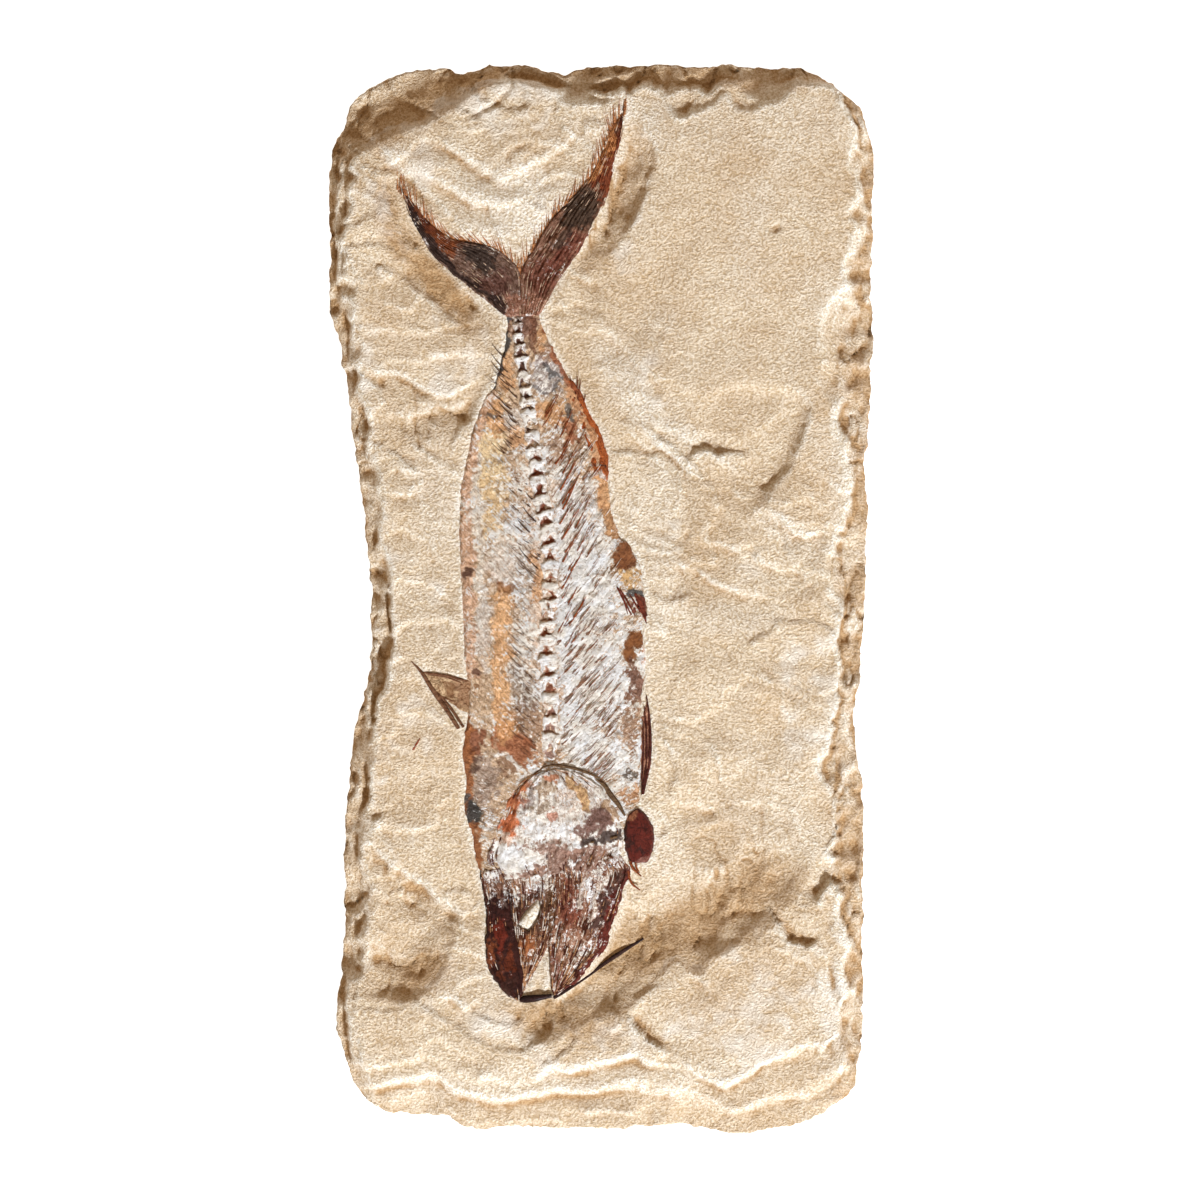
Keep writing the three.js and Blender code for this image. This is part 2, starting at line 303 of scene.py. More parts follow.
BELLY_EDGE = [
    (68, -140.5), (71, -137), (72, -131), (72.8, -124), (73.5, -112), (73.3, -100), (73.3, -80),
    (73.4, -60), (73, -50), (71.3, -42), (71.2, -30), (72.5, -22), (73, -12), (73.9, -2), (74.2, 12),
    (74.6, 28), (73.6, 38), (75, 48), (75.3, 62), (76.2, 74), (75.7, 85), (76, 100), (76.3, 115),
    (76, 127), (74.5, 132), (73, 137), (69, 140.5),
]
tail_edge, head_edge = (smooth_line(edge, CELLS_ACROSS + 1) for edge in (TAIL_EDGE, HEAD_EDGE))
back_edge, belly_edge = (smooth_line(edge, CELLS_ALONG + 1) for edge in (BACK_EDGE, BELLY_EDGE))
u = np.linspace(0, 1, CELLS_ACROSS + 1)[None, :, None]
v = np.linspace(0, 1, CELLS_ALONG + 1)[:, None, None]
across = (1 - v) * head_edge[None] + v * tail_edge[None]
along = (1 - u) * back_edge[:, None] + u * belly_edge[:, None]
corners = (1 - v) * ((1 - u) * head_edge[0] + u * head_edge[-1])
corners = corners + v * ((1 - u) * tail_edge[0] + u * tail_edge[-1])
plan = across + along - corners
X, Y = plan[..., 0], plan[..., 1]
print("plan grid", X.shape, "cells of about", round(float(np.diff(Y[:, 100]).mean()), 2), "mm")

# %% [markdown]
# ## The bedding plane and its relief
#
# The face is one bedding plane at heart. The tail lies on a low bank with a trench dug on each side
# of it, the stone climbs in a mound between its lobes, and past the snout a higher layer is still in
# place, with a broken slope down to the hollow that the head lies in. These wide forms come first,
# as soft hills and hollows.

# %% Wide hills and hollows
def hill(height, x, y, at, half, turn, rise, soft=0.5):
    """Raises a soft-edged ellipse. soft is the share of the half-width over which it dies away."""
    r = from_middle(*frayed(x - at[0], y - at[1], 1.2, 9, 31), half, turn)
    height += rise * (1 - ease(r, 1 - soft, 1 + soft))


HILLS = [  # middle, half-widths, turn in degrees, rise, softness
    ((46, 84), (34, 74), 0, 0.9, 0.25),
    ((-30, 128), (24, 20), 20, 1.6, 0.6),
    ((30, -20), (34, 26), 10, 0.7, 0.7),
    ((32, -63), (15, 10), 20, -1.3, 0.7),
    ((30, -88), (26, 9), 28, -1.1, 0.7),
    ((-55, 60), (18, 16), 0, -0.6, 0.6),
    ((-46, 88), (8, 18), 38, -1.6, 0.7),
    ((5, 107), (7, 20), -22, -0.9, 0.8),
    ((-24, 108), (16, 11), 0, 0.9, 0.8),
    ((-54, 20), (14, 30), 0, -0.4, 0.6),
    ((-57, -94), (16, 17), 0, -1.2, 0.6),
    ((8, 90), (13, 17), -20, -0.8, 0.6),
    ((-2, -116), (22, 9), 0, -0.8, 0.7),
]


def wide_relief(x, y):
    """The bedding plane with its wide forms only, in mm above the back."""
    height = np.full(x.shape, BED)
    for at, half, turn, rise, soft in HILLS:
        hill(height, x, y, at, half, turn, rise, soft)
    return height + 0.45 * rumple(x, y, 38, 41, 2) + 0.22 * rumple(x, y, 12, 42, 2)


def thin_layers(x, y, size, drop, seed):
    """Terraces: ragged lines where one thin layer ends, each rising back gently to the next."""
    px, py = frayed(*frayed(x, y, 1.0, 6, seed), 0.35, 1.6, seed + 2)
    level = 1.5 * rumple((0.87 * px - 0.5 * py) / 2, 0.5 * px + 0.87 * py, size, seed + 4, 2, 0.35)
    level += (0.4 * px + 0.9 * py) / (1.3 * size)
    part = level - np.floor(level)
    return drop * (ease(part, 0.9, 1) - part)


print(len(HILLS), "hills and hollows")

# %% [markdown]
# ## Broken edges on the face
#
# Thin layers have come away in places, and each left a low step with a ragged rim. Each step is a
# line with a drop at every point. The drop is nought where the step dies out. The line runs so that
# the lower stone is on its right.

# %% Steps, scoops and scratches of the face
SOUTH_RIM = [
    (60, -75, 0.5), (57, -80, 2.2), (54, -85, 2.6), (50, -88, 2.4), (49, -91, 2.2), (45, -94.5, 2.2),
    (40, -96.5, 2.4), (35, -99.5, 2.4), (31, -101.5, 2.2), (29, -105, 2), (25, -105.3, 2), (23, -103, 2.2),
    (21, -101.5, 2.2), (18, -104, 2.6), (15, -108, 2.8), (10, -113, 3), (5, -117, 3), (-3, -118, 3),
    (-10, -122, 2.6), (-16, -125, 2.4), (-23, -124, 2), (-25, -120, 1.6), (-28, -112, 1.2), (-35, -105, 0),
]
STEPS = [  # points with drops, how far until the old level returns, width of the break itself
    (SOUTH_RIM, 34, 13),
    # the long thin flake off the middle of the belly side: its tail rim, then its high curved wall
    ([(11, 60, 0), (15, 62, 0.5), (20, 61.5, 0.7), (24, 59, 0.7), (28, 56.5, 0.6), (33, 59.5, 0.7),
      (38, 60.5, 0.8), (50, 60, 0.9), (54, 59, 1.1), (57, 57, 1.2), (59, 53.5, 1.4), (58, 48, 1.7),
      (56, 42, 1.7), (53, 36, 1.5), (50, 32, 1.2), (46, 27, 0.8), (41, 21, 0)], 22, 4.2),
    ([(10, 49, 0), (16, 43, 0.7), (20, 40, 0.8), (24, 36.5, 0.6), (27, 33, 0)], 10, 0.9),
    ([(4, 51, 0), (9, 46, 0.4), (14, 40, 0.4), (17, 36, 0)], 7, 0.7),
    ([(41, 40, 0), (39, 40.5, 0.5), (33, 40, 0.8), (30, 42, 0.9), (27, 41.5, 0.7), (23, 37, 0)], 6, 0.8),
    ([(24, 17.5, 0), (30, 15.5, 0.5), (36, 14, 0.6), (44, 10.5, 0.6), (48, 8.8, 0.6), (54, 8, 0.6),
      (59, 4.5, 0.5), (64, 0, 0)], 9, 0.9),
    ([(20, 10, 0), (27, 8, 0.8), (31, 4.5, 0.9), (37, 2.5, 0.8), (45, 1, 0.5), (50, -1, 0)], 10, 1.1),
    ([(44, 26, 0), (50, 23, 0.8), (54, 19, 0.9), (58, 17.5, 0.8), (65, 20, 0)], 10, 1.1),
    ([(-66, 65, 0), (-60, 63, 0.8), (-55, 62, 0.9), (-50, 58.5, 1), (-46, 57, 1), (-42, 57, 0.9),
      (-38, 59, 0.6), (-32, 62.5, 0)], 8, 1.2),
    ([(-62, 53.5, 0), (-55, 51, 0.9), (-48, 53, 1.1), (-40, 54, 1), (-34, 58.5, 0)], 10, 2.2),
    ([(-69, -67, 0), (-63, -70, 0.8), (-58, -75, 1), (-50, -80, 1), (-43, -87, 0.6), (-40, -90, 0)], 12, 1.8),
    # the dished scar beside the head: its wall faces the back of the fish
    ([(-38, -86, 0), (-40, -91, 1.6), (-41, -97, 2.4), (-43, -103, 2.6), (-47, -109, 2.8), (-51, -112, 2.8),
      (-55, -113.5, 2.8), (-63, -113, 2.2), (-70, -111, 0)], 24, 12),
    ([(-47, -112, 0), (-42, -112, 0.8), (-38, -115, 0.8), (-33, -112, 0)], 7, 1),
    ([(20, -133, 0), (17, -126, 1), (12, -123, 1.4), (9, -119, 1.4), (7, -116, 0)], 9, 1.2),
    ([(24, -105, 0), (28, -107.5, 0.8), (33, -109.5, 0)], 8, 1),
    ([(62, -96, 0), (57, -98, 1.6), (52, -96, 1.8), (50, -92, 1)], 9, 1.6),
    ([(70, -76, 0), (65, -78, 1.2), (61, -83, 1.4), (60, -87, 0)], 8, 1.6),
    ([(-62, 33, 0), (-58, 36, 0.4), (-52, 35, 0.4), (-48, 36, 0)], 5, 0.7),
    ([(-61, 28, 0), (-53, 29.5, 0.4), (-48, 35, 0)], 5, 0.7),
    ([(-60, -59, 0), (-64, -62, 0.9), (-67, -61, 0.9), (-69, -58, 0)], 6, 1),
    # the trench on the back side of the tail, its rim, then the dug cup at its root
    ([(-62, 120, 0), (-63, 116, 1.6), (-61, 110, 2), (-58.5, 105, 2), (-57, 100, 1.8), (-52.5, 97, 1.8),
      (-55, 94, 1.6), (-56, 90, 1.8), (-52, 86, 2), (-46, 82, 1.8), (-38, 75.5, 1), (-33, 71, 0)][::-1], 14, 6),
    # the trench on its belly side
    ([(-6, 89, 0), (-3, 92, 1.8), (2, 95.5, 2.2), (5, 100, 2.4), (9, 105.5, 2.8), (11.5, 110, 3), (13, 114, 3),
      (13, 117, 3), (15.5, 120.5, 3), (15, 126, 2.8), (12, 131, 2), (10, 136, 0)][::-1], 16, 8),
    # the low ledge at the corner behind the tail
    ([(-26, 147, 0), (-29, 144.5, 2), (-33, 143, 3), (-38, 139.5, 3.4), (-45, 135, 3.8), (-53, 131, 4.2),
      (-60, 129, 4.4), (-66, 125.5, 4.4), (-74, 121, 4), (-84, 116, 4)], 70, 13),
    # the layers that end in the mound between the lobes
    ([(-48, 132, 0), (-42, 126, 0.7), (-33, 121, 0.8), (-27, 118, 0.8), (-20, 121, 0.8), (-12, 126, 0.5),
      (-6, 132, 0)], 10, 1.6),
    ([(-57, 126, 0), (-52, 121, 1), (-44, 116, 1.1), (-36, 112, 1), (-28, 110, 0.8), (-20, 113, 0)], 9, 2),
    ([(-64, 130, 0), (-60, 124, 0.9), (-55, 119, 1), (-48, 113, 0.6), (-42, 108, 0)], 7, 1.4),
]
SCRATCHES = [  # points with their share of the depth, width, depth
    ([(-29, 118, 1), (-24, 123, 1), (-14, 132, 0)], 1.2, -0.7),
    ([(-27, 116, 1), (-18, 121, 1), (-7, 130, 0)], 1, -0.5),
    ([(-52, 131, 1), (-51, 122, 0)], 0.7, 0.6),
    ([(-48, 86, 0.5), (-45, 82, 1), (-38, 76, 0.4)], 1.1, 1.4),
    ([(-58, 95.5, 1), (-53, 95, 0.4)], 0.8, 0.8),
    ([(21, 14, 0.5), (24, 18.5, 1)], 0.7, 0.7),
    ([(20, 0, 0.5), (22, 4.5, 1)], 0.6, 0.7),
    ([(20, 81, 0.3), (16, 73, 1), (13, 65, 0.3)], 0.6, 0.35),
    ([(33, -89.5, 0.6), (40, -87.5, 1), (48, -88, 0.4)], 0.9, 0.8),
    ([(14, -100.5, 0.5), (20, -98, 1)], 0.9, 0.7),
    ([(45, 31.5, 1), (49, 34, 0.5)], 0.8, 0.8),
    ([(-38, 134.5, 0.6), (-29, 138.5, 1), (-25, 144, 0.8)], 0.8, 1.1),
    ([(64, -45, 0.6), (68, -48, 1), (71, -46, 1)], 0.9, 1.8),
    ([(67, 62, 0.4), (71, 56, 1)], 0.7, 1.2),
    ([(66.5, 48, 0.4), (70, 42, 1)], 0.8, 1.2),
    ([(72, 54, 1), (75, 48, 1)], 0.7, 1.2),
    ([(66, 7, 0.5), (69, 2, 1)], 0.7, 1.1),
    ([(70, 104, 0.5), (73, 97, 1)], 0.7, 1.1),
    ([(66, 82, 0.5), (70, 76, 1)], 0.7, 1),
    ([(59, -126, 0.6), (59, -134, 1), (61, -143, 1)], 0.8, 1.3),
    ([(64, -98, 0.5), (65, -109, 1)], 0.8, 1.3),
    ([(71, -101, 0.7), (71, -111, 1)], 0.8, 1.2),
    ([(-31, -117, 0.2), (-24, -127, 1), (-22, -131, 0.2)], 0.9, 0.7),
]


def broken_relief(x, y):
    """The face of the slab inside its bevels, in mm above the back."""
    height = wide_relief(x, y)
    smooth = ease(1.25 - np.hypot((x - 46) / 30, (y - 92) / 58), 0, 0.45)
    for mid_x, mid_y, wide, long in ((12, 106, 14, 30), (38, -116, 22, 15)):
        smooth = np.maximum(smooth, 0.8 * ease(1.3 - np.hypot((x - mid_x) / wide, (y - mid_y) / long), 0, 0.4))
    downhill = 0.88 * (x - 26) + 0.47 * (y + 84)
    sideways = 2 * (0.88 * (y + 84) - 0.47 * (x - 26))
    sunken = ease(np.hypot(downhill, sideways), 44, 26)
    uneven = 1 - 0.85 * np.maximum(smooth, sunken)
    height += uneven * (thin_layers(x, y, 16, 0.9, 201) + thin_layers(x, y, 9, 0.4, 215) + 0.6)
    height += uneven * (0.16 * rumple(x, y, 8, 45, 2) + 0.7 * (0.4 - np.abs(rumple(x, y, 17, 46, 2, 0.4))))
    for points, fade, edge in STEPS:
        sharpness = 1.6 if edge < 4 else 1.15
        step(height, x, y, [(px, py, sharpness * drop) for px, py, drop in points], fade, edge)
    for points, width, depth in SCRATCHES:
        scratch(height, x, y, points, width, depth)
    scoop(height, x, y, (48.5, 103.5), (1.9, 1.4), 20, 0.8, BED + 0.95)
    scoop(height, x, y, (32, -64), (6, 3.4), 30, 1.0, BED - 1.2)
    return height


print(len(STEPS), "steps,", len(SCRATCHES), "scratches")

# %% [markdown]
# ## The fish in plan
#
# Every bone plate and fin is drawn by two lines that run from its tail end to its snout end: one on
# the side of the fish's back, one on the belly side. A grid stretched between the two lines gives
# the plate, and its cells then follow the grain of the bone. The same lines say where the stone has
# to make room. Lines that meet at an end make a point there.

# %% The lines that bound each plate
SIDES = {
    "trunk": (
        [(-26.6, 80), (-26.8, 72), (-28.5, 66), (-30, 60), (-33, 56), (-34.8, 51), (-37, 44), (-38.5, 37),
         (-39.6, 30), (-39.9, 20), (-39.8, 10), (-39.3, 0), (-38.8, -10), (-38.3, -19), (-37.5, -25),
         (-37.5, -32), (-38.5, -38), (-39.2, -44), (-38, -50), (-38.8, -56), (-38.2, -62), (-36, -67),
         (-35.5, -73), (-33.5, -79)],
        [(-17.5, 80), (-16, 75), (-13, 69.5), (-10.5, 65), (-8.2, 60), (-5.2, 55), (-3.3, 50), (-0.6, 46),
         (1.2, 40), (1.4, 36), (2.4, 30), (3, 24), (5, 18), (8.5, 14.8), (11.3, 8.5), (12, 2), (12.5, -4),
         (11.5, -9), (12.4, -15), (12.3, -22), (11.4, -29), (11.5, -38), (11.3, -48), (11, -55), (9, -61),
         (6, -68)],
    ),
    "gill_cover": (
        [(-17, -48.6), (-21, -50.2), (-25, -54), (-28.5, -62), (-30.5, -68), (-31.5, -74), (-27, -79)],
        [(-12, -47.6), (-6, -49), (0, -53), (3.5, -58), (5.4, -64), (5.4, -70), (1, -76)],
    ),
    "skull_roof": (
        [(-34, -76), (-33.3, -81), (-32.2, -87), (-32.2, -95), (-31.8, -102), (-29, -107.5), (-26, -111.2),
         (-23.2, -112.8)],
        [(-28, -75.5), (-26, -81), (-25.2, -88), (-24, -94), (-22.5, -100), (-21.5, -105), (-22, -110),
         (-23.2, -112.8)],
    ),
    "cheek_bones": (
        [(-27, -78), (-25.8, -83), (-25, -90), (-24, -97), (-22.8, -103), (-22.4, -108), (-22, -110.4)],
        [(-12, -76), (-12.5, -83), (-13.5, -91), (-15.6, -98), (-18.2, -103), (-20.4, -107.5),
         (-22, -110.4)],
    ),
    "lower_jaw": (
        [(-13.5, -73), (-13, -80), (-13, -88), (-14.5, -95), (-14.6, -102), (-14.2, -108), (-13.2, -111.4)],
        [(5, -71.5), (7.6, -76), (6, -81.5), (4, -87.5), (2.3, -92.5), (0.3, -98), (-5, -104.5),
         (-9.5, -108.8), (-13.2, -111.4)],
    ),
    "throat_plate": (
        [(9.6, -58.8), (7, -60.6), (6.4, -64), (6.4, -68), (7, -72), (8.2, -74)],
        [(10.6, -58.8), (12.8, -60.8), (14.4, -64), (14.8, -67.6), (14.2, -71.4), (12.8, -74)],
    ),
    "tail_upper_lobe": (
        [(-26.8, 79), (-34, 85), (-41, 90.5), (-47, 96), (-51, 102.5), (-54, 108), (-56.2, 115.6)],
        [(-22.4, 79), (-22.5, 86), (-23.2, 92), (-27, 96), (-31, 98.5), (-37, 99.8), (-42, 100.8), (-47.5, 104.8),
         (-52, 110), (-56.2, 115.6)],
    ),
    "tail_lower_lobe": (
        [(-22.6, 79), (-22.9, 86), (-22.6, 92), (-19.4, 97.5), (-16, 103), (-12.4, 108), (-8, 112.5),
         (-3.5, 118), (0.2, 125), (3.2, 132.5), (6.3, 137.6)],
        [(-17.6, 79), (-14.5, 84.5), (-11.5, 90), (-6.8, 97), (-2.8, 105), (0.7, 112), (2.7, 120),
         (5.2, 128), (6.1, 133.5), (6.3, 137.6)],
    ),
    "anal_fin": (
        [(-10.5, 61.5), (-9.6, 57), (-7, 53), (-6, 48), (-4.4, 43), (-3, 38), (-2.4, 34)],
        [(-8, 61), (-5.4, 57), (-3.4, 52), (-0.6, 47), (1.5, 41), (1.9, 36.5), (1.6, 33)],
    ),
    "pelvic_fin": (
        [(4.6, 3), (6, 0), (7.4, -3.6), (8.6, -5)],
        [(8, 2.2), (11.2, 1.2), (12.9, -3), (12.2, -6)],
    ),
    "pectoral_fin": (
        [(12, -27), (11, -36), (10.9, -46), (11.3, -55.5)],
        [(13, -27), (13.9, -36), (13.8, -46), (12.2, -54.5)],
    ),
    "dorsal_fin": (
        [(-50.5, -20.8), (-47, -25.6), (-43, -29), (-39, -31.5), (-34.2, -33.4)],
        [(-49.5, -20.2), (-45, -21.4), (-41, -22.2), (-38, -22.8), (-33.8, -24.2)],
    ),
}
EYE_OPENING = [(-23.4, -91.3), (-21, -87.6), (-17.9, -84.6), (-17.2, -86.5), (-18.4, -90), (-20.4, -92.8)]
SNOUT_GAP = [(-20.6, -109.6), (-17.5, -103.5), (-14.8, -99.5), (-14.8, -104), (-14.6, -109.5)]


def outline_of(name):
    """The closed outline of a plate, down one line and up the other."""
    back, belly = SIDES[name]
    return [tuple(point) for point in smooth_line(back, 24)[:, :2]] + [
        tuple(point) for point in smooth_line(belly, 24)[::-1, :2]
    ]


print(len(SIDES), "plates drawn")

# %% [markdown]
# ## Bevels knocked off the rim
#
# All round the face the hammer has taken off flakes, so the face falls to the slab's widest outline
# in a bevel. It is wide past the snout, steep behind the tail and narrow along the sides. Each flake
# is a bowl that starts at the rim: it climbs inwards, ever more steeply, and its sides curve up to
# the next flake. Taking the lowest of all of them leaves crisp ridges between flakes, as on a real one.

# %% Bevel widths along the four edges, and the flakes taken off them
BEVELS = {  # distance along the edge against the bevel's width there
    "tail": [(-76, 6), (-60, 5), (-33, 5), (-29, 4.5), (-10, 4), (-3, 8), (0, 9.5), (14, 9.5), (25, 12),
             (40, 10.5), (54, 6), (60, 4), (65, 4), (76, 5)],
    "head": [(-70, 10), (-60, 14), (-45, 15), (-40, 14), (-30, 12.5), (-25, 11), (-15, 14), (-10, 14.5),
             (-5, 18), (0, 19.5), (10, 19), (19, 15.5), (27, 14), (35, 15), (42, 16), (48, 20), (54, 22),
             (68, 24)],
    "back": [(-140, 8), (-130, 6), (-115, 5), (-100, 6), (-90, 8), (-75, 6), (-60, 6), (-45, 5), (-10, 5),
             (20, 4.5), (60, 5), (80, 6), (100, 5), (120, 5), (140, 8)],
    "belly": [(-140, 8), (-125, 6), (-100, 5), (-90, 6), (-80, 8), (-70, 9), (-55, 7), (-46, 9), (-40, 6),
              (-20, 5), (0, 5), (13, 11), (22, 7), (28, 7), (41, 4), (50, 9), (58, 8), (65, 10.5),
              (75, 10.5), (85, 7), (97, 6), (110, 5), (125, 6), (140, 8)],
}
FLAKES = {"tail": 12, "head": 9, "back": 30, "belly": 44}
TERRACES = {"tail": 1.3, "head": 1.7, "back": 1.2, "belly": 1.0}
CREST = BED + 0.9  # where a bevel meets the face, in mm above the back
flake_rng = np.random.default_rng(7)


def bevelled(height, inward, place, side):
    """Cuts an edge's bevel and flakes. inward is the distance from the edge, place the one along it."""
    table = np.array(BEVELS[side], float)
    coarse, rough, farthest = (1.5, 0.1, 1.05) if side == "head" else (1, 0.4, 1.6)
    width = np.interp(place, *table.T) * (1 + rough * rumple(place, inward * 0.3, 7, 51, 4))
    rim = RIM + 0.9 * rumple(place, inward * 0, 16, 52, 3)
    climb = np.clip(inward / width, 0, None)
    wander = 0.45 * rumple(place, inward, 17 * coarse, 53, 3)
    treads = TERRACES[side] * climb + wander
    tread, riser = np.floor(treads), ease(treads - np.floor(treads), 0.62, 1)
    climb = np.clip((tread + riser - wander) / TERRACES[side], 0.3 * climb, None)
    limit = rim + (CREST - rim) * climb + 9 * np.clip(inward / width - 1, 0, None)
    low, high = table[0, 0], table[-1, 0]
    for middle in flake_rng.uniform(low, high, FLAKES[side]):
        half = coarse * flake_rng.uniform(3, 13)
        reach = np.interp(middle, *table.T) * flake_rng.uniform(0.6, farthest)
        start = RIM + flake_rng.uniform(-2, 1.5)
        tilt = flake_rng.uniform(-0.2, 0.2)
        spread = np.abs(place - middle) / half
        bowl = start + (CREST - start) * np.clip(inward / reach, 0, None) ** 1.7
        bowl = bowl + 5 * spread ** (1.3 if side == "head" else 2) + tilt * (place - middle)
        limit = np.minimum(limit, bowl)
    return np.minimum(height, limit)


print(sum(FLAKES.values()), "flakes")

# %% [markdown]
# ## The slab
#
# The face is one dense grid, because its relief is what the eye sees. Its border is then extruded
# down in rings for the broken sides and closed with one flat face, since the back is sawn flat.
# Heights come from the relief above, cut down by the bevels, with the fish's bed smoothed into it.

# %% Sculpt the face
EDGES = {
    "tail": tail_edge[None],
    "head": head_edge[None],
    "back": back_edge[:, None],
    "belly": belly_edge[:, None],
}
inset = {side: np.hypot(*(plan - edge).transpose(2, 0, 1)) for side, edge in EDGES.items()}
from_edge = np.minimum.reduce(list(inset.values()))
ragged = 1 - ease(from_edge, 0, 5)
widest, longest = HALF_WIDTH - 0.05, HALF_LENGTH - 0.05
X = np.clip(X + ragged * (0.45 * rumple(X, Y, 3.3, 61) + 0.25 * rumple(X, Y, 1.3, 63)), -widest, widest)
Y = np.clip(Y + ragged * (0.45 * rumple(X, Y, 3.3, 62) + 0.25 * rumple(X, Y, 1.3, 64)), -longest, longest)
face = broken_relief(X, Y)
for side in BEVELS:
    face = bevelled(face, inset[side], X if side in ("tail", "head") else Y, side)
broken = ease(BED - 0.4 - face, 0, 2)
scars = 0.7 - np.abs(rumple(X, Y, 10, 71, 2, 0.4))
crevice = broken * ease(inset["head"], 12, 24) * ease(0.1 - np.abs(rumple(X, Y * 0.45, 7, 85, 3)), 0, 0.1)
rugged = broken * ease(np.minimum(inset["belly"], inset["back"]), 13, 6)
scars = 1.2 * scars * (0.35 + 0.65 * ease(inset["head"], 12, 30))
face += broken * (scars + 0.2 * rumple(X, Y, 2.6, 72) + 0.25 * rumple(X, Y, 5, 75)) - 0.9 * crevice
face += rugged * 1.5 * (0.35 - np.abs(rumple(X, Y * 0.6, 4.2, 76, 3)))
face += (1 - broken) * (0.10 * rumple(X, Y, 5, 73, 2) + 0.06 * rumple(X, Y, 2.2, 74, 2))
face = np.minimum(face, TOP)
print("face from", round(float(face.min()), 1), "to", round(float(face.max()), 1), "mm")

# %% [markdown]
# ## A seat for the fish
#
# The sculpted breaks must not cut through the fossil, so under the fish and for a few millimetres
# around it the face goes back to the plain bed. The stone under a plate is taken down a little more.
# Where the head has an opening, bare stone comes up to fill it. All of that needs the distance from
# each point of the face to each plate's outline.

# %% Seat the fish in it
def signed_gap(x, y, outline):
    """Distance to a closed outline, below 0 inside it."""
    ring = np.array(list(outline) + [outline[0]], float)
    gap, inside = np.full(x.shape, 1e9), np.zeros(x.shape, bool)
    for a, b in zip(ring, ring[1:]):
        run = b - a
        if not run.any():
            continue
        t = np.clip(((x - a[0]) * run[0] + (y - a[1]) * run[1]) / (run @ run), 0, 1)
        np.minimum(gap, np.hypot(x - a[0] - t * run[0], y - a[1] - t * run[1]), out=gap)
        if a[1] != b[1]:
            crossing = (a[1] > y) != (b[1] > y)
            inside ^= crossing & (x < a[0] + (y - a[1]) / (b[1] - a[1]) * run[0])
    return np.where(inside, -gap, gap)


gap = np.minimum.reduce([signed_gap(X, Y, outline_of(name)) for name in SIDES])
bed = wide_relief(X, Y)
settled = 1 - ease(gap, -0.5, 3.5)
face = face * (1 - settled) + bed * settled
openings = np.minimum(signed_gap(X, Y, EYE_OPENING), signed_gap(X, Y, SNOUT_GAP))
face -= 0.9 * ease(-gap, 0.3, 1) * ease(openings, -0.1, 0.3)
face += 0.5 * ease(-openings, 0, 0.5)
under_fish = bed[gap < 0]
print("fish bed between", round(float(under_fish.min()), 1), "and", round(float(under_fish.max()), 1), "mm")

# %% [markdown]
# ## The broken sides and the sawn back
#
# The grid becomes a closed shell by extruding its border downwards, one ring after another. Each ring
# is drawn in by a different ragged amount, so the sides look broken, and the last one is capped. A
# small helper then turns any finished bmesh into a piece of the object.

# %% Build the slab's closed shell
SIDE_RINGS = 6
FINISHES = {}  # the material for each slot, filled in as the finishes are made


def finished(bm, name, slot, *nodes):
    """Turns a bmesh drawn in mm into a piece, and says which construction solids it stands for."""
    bmesh.ops.scale(bm, vec=(MM, MM, MM), verts=bm.verts)
    mesh = bpy.data.meshes.new(name)
    bm.to_mesh(mesh)
    bm.free()
    mesh.materials.append(FINISHES[slot])
    mesh.shade_smooth()
    piece = bpy.data.objects.new(name, mesh)
    bpy.context.collection.objects.link(piece)
    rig.ride(piece, "root")
    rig.replaces(piece, *nodes)
    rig.slot(piece, slot)
    print(name, len(mesh.polygons), "faces")
    return piece


shell = bmesh.new()
bmesh.ops.create_grid(shell, x_segments=CELLS_ACROSS, y_segments=CELLS_ALONG, size=0.5)
for vert in shell.verts:
    i, j = round((vert.co.x + 0.5) * CELLS_ACROSS), round((vert.co.y + 0.5) * CELLS_ALONG)
    vert.co = (X[j, i], Y[j, i], face[j, i])
rim_edges = [edge for edge in shell.edges if edge.is_boundary]
for ring in range(1, SIDE_RINGS + 1):
    lowered = bmesh.ops.extrude_edge_only(shell, edges=rim_edges)["geom"]
    rim_edges = [item for item in lowered if isinstance(item, bmesh.types.BMEdge) and item.is_boundary]
    share = ring / SIDE_RINGS
    verts = [item for item in lowered if isinstance(item, bmesh.types.BMVert)]
    x, y, z = np.array([vert.co for vert in verts]).T
    out = np.hypot(x, y)
    round_place = np.arctan2(y * 0.5, x) * 90
    pulled = BACK_INSET / SIDE_RINGS * (1 + 1.6 * rumple(round_place, z * 0 + ring * 7, 9, 81, 4))
    if ring == SIDE_RINGS:
        pulled = pulled * 0 + 0.6
    sink = z / (SIDE_RINGS + 1 - ring)
    for vert, px, py, down in zip(verts, x / out * pulled, y / out * pulled, sink):
        vert.co.x -= px
        vert.co.y -= py
        vert.co.z -= down
        vert.co.x = min(max(vert.co.x, -HALF_WIDTH), HALF_WIDTH)
        vert.co.y = min(max(vert.co.y, -HALF_LENGTH), HALF_LENGTH)
bmesh.ops.contextual_create(shell, geom=rim_edges)
bmesh.ops.recalc_face_normals(shell, faces=shell.faces)
print("shell", len(shell.verts), "points,", sum(not edge.is_manifold for edge in shell.edges), "open edges")

# %% [markdown]
# ## Limestone
#
# Fine limestone is cream where it is freshly broken and tan where the old bedding plane has
# weathered. Both show here, so the sculpted heights are read back once more: steep places are
# chalky, sharp edges get a painted highlight, and hollows and crevices are browned. Painted shade
# lies on the walls of wide steps, in the trenches by the tail, on the ledges and in the hollows round
# the head, and painted light whitens the mound between the tail's lobes and the bevel facing the
# lamp. That is kept as numbers at each point of the mesh, and the material mixes its colours by them.

# %% Chalky stone, painted light, brown dust and painted shade
def softened(field, times):
    """The field averaged with its neighbours, several times over."""
    for _ in range(times):
        padded = np.pad(field, 1, mode="edge")
        field = (padded[:-2, 1:-1] + padded[2:, 1:-1] + padded[1:-1, :-2] + padded[1:-1, 2:] + 4 * field) / 8
    return field
